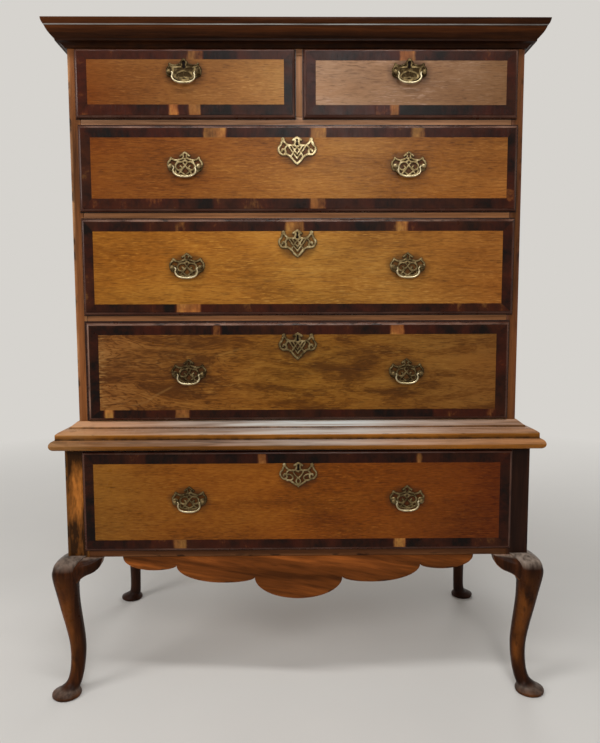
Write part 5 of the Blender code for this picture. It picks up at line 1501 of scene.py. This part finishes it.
def add_keyhole(drawer, across, up):
    """The dark inside of a keyhole, just under the brass: a sheet of painted shade that stands for the hole.
    """
    hole = cut_plate(keyhole_field, step=0.7, edge=0.15, crown=0.2, easing=1.0)
    hole = placed(hole, across, brass_face(drawer) + HOLE_DEPTH, up)
    make_piece(f"{drawer}_keyhole", [hole], [dark_hole("keyhole_dark")], f"{drawer}_drawer")


def brass_face(drawer):
    """Where the back of the brass lies in front of a drawer."""
    return corners(f"{drawer}_drawer_front")[0][Y] - SEAT


class CHEST_OT_handle_plates(bpy.types.Operator):
    """Makes the pierced back plates of the handles with their turned posts"""
    bl_idname = "chest.handle_plates"
    bl_label = "Handle plates"

    def execute(self, context):
        sizes = context.scene.chest_sizes
        cast = partial(cut_plate, step=0.7, edge=sizes.plate_edge / MM, crown=sizes.plate_crown / MM)
        plain = partial(strap_field, straps=HANDLE_STRAPS, rounds=HANDLE_ROUNDS, weight=1.35)
        keyed = partial(strap_field, straps=KEYED_STRAPS, rounds=KEYED_ROUNDS, weight=1.0,
                        holes=keyhole_field)
        raised = partial(strap_field, straps=KEYED_STRAPS, rounds=KEYED_RAISED, weight=0.72)
        plain, keyed = cast(plain, easing=1.7), cast(keyed, easing=1.4, relief=raised)
        for name in DRAWERS:
            face, up, patina = brass_face(name), handle_height(name), PATINA[name][0]
            for handle in handle_names(name):
                node = f"{handle}_handle_plate"
                low, high = corners(node)
                across = (low[X] + high[X]) / 2
                plate = placed(keyed if is_short(name) else plain, across, face, up, patina)
                posts = [turned_post(across + side * POST_SPREAD * MM, face, up, patina) for side in (-1, 1)]
                add_brass(f"{handle}_pierced_plate", name, node, [plate, *posts])
                if is_short(name):
                    add_keyhole(name, across, up)
        return {"FINISHED"}


class CHEST_OT_escutcheons(bpy.types.Operator):
    """Makes the pierced escutcheons with the keyholes behind them"""
    bl_idname = "chest.escutcheons"
    bl_label = "Escutcheons"

    def execute(self, context):
        sizes = context.scene.chest_sizes
        cast = partial(cut_plate, step=0.65, edge=sizes.plate_edge / MM, crown=sizes.plate_crown / MM)
        field = partial(strap_field, squash=ESCUTCHEON_SQUASH)
        pointed = partial(field, straps=POINTED_STRAPS, rounds=POINTED_ROUNDS, weight=1.7)
        oval = partial(field, straps=OVAL_STRAPS, rounds=OVAL_ROUNDS, weight=1.4)
        pointed, oval = cast(pointed, easing=1.6), cast(oval, easing=1.6)
        for name in LONG_DRAWERS:
            up = corners(f"{name}_escutcheon")[1][Z] - ESCUTCHEON_TOP
            plate = placed(oval if name == "stand" else pointed, 0.0, brass_face(name), up, PATINA[name][1])
            add_brass(f"{name}_pierced_escutcheon", name, f"{name}_escutcheon", [plate])
            add_keyhole(name, 0.0, up)
        return {"FINISHED"}


class CHEST_OT_bails(bpy.types.Operator):
    """Makes the swinging bails"""
    bl_idname = "chest.bails"
    bl_label = "Bails"

    def execute(self, context):
        wire, middle = context.scene.chest_sizes.bail_wire, context.scene.chest_colours.bail
        finish = brass("bail_brass", screen(204, 190, 156), middle, screen(92, 76, 46), polish=(0.30, 0.48))
        for name in DRAWERS:
            for handle in handle_names(name):
                node = f"{handle}_handle_bail"
                low, high = corners(node)
                across, hinge = (low[X] + high[X]) / 2, (low[Y] + high[Y]) / 2
                tube = bail_tube(across, hinge, handle_height(name), wire)
                make_piece(f"{handle}_swung_bail", [tube], [finish], node, [node], crease=60.0)
        return {"FINISHED"}


OPERATORS = (
    CHEST_OT_stage, CHEST_OT_case_boards, CHEST_OT_linings, CHEST_OT_mouldings, CHEST_OT_legs, CHEST_OT_apron,
    CHEST_OT_drawer_fronts, CHEST_OT_handle_plates, CHEST_OT_escutcheons, CHEST_OT_bails,
)


class CHEST_PT_panel(bpy.types.Panel):
    """Lists the steps of making the chest and the values that they use"""
    bl_idname = "CHEST_PT_panel"
    bl_label = "Chest on Stand"
    bl_space_type = "VIEW_3D"
    bl_region_type = "UI"
    bl_category = "Chest"

    def draw(self, context):
        column = self.layout.column()
        for operator in OPERATORS:
            column.operator(operator.bl_idname)
        for group in (context.scene.chest_sizes, context.scene.chest_colours, context.scene.chest_stage):
            column.separator()
            for label in group.__annotations__:
                column.prop(group, label)


CLASSES = (ChestSizes, ChestColours, StageSettings, *OPERATORS, CHEST_PT_panel)


def register():
    """Makes the steps, the panel and the values known to Blender."""
    for new_class in CLASSES:
        bpy.utils.register_class(new_class)
    bpy.types.Scene.chest_sizes = bpy.props.PointerProperty(type=ChestSizes)
    bpy.types.Scene.chest_colours = bpy.props.PointerProperty(type=ChestColours)
    bpy.types.Scene.chest_stage = bpy.props.PointerProperty(type=StageSettings)


def unregister():
    """Takes them out of Blender again."""
    for label in ("chest_sizes", "chest_colours", "chest_stage"):
        delattr(bpy.types.Scene, label)
    for old_class in reversed(CLASSES):
        bpy.utils.unregister_class(old_class)


def main():
    """Makes the steps known to Blender and makes every piece in order."""
    register()
    for operator in OPERATORS:
        group, name = operator.bl_idname.split(".")
        getattr(getattr(bpy.ops, group), name)()


if __name__ == "__main__":
    main()
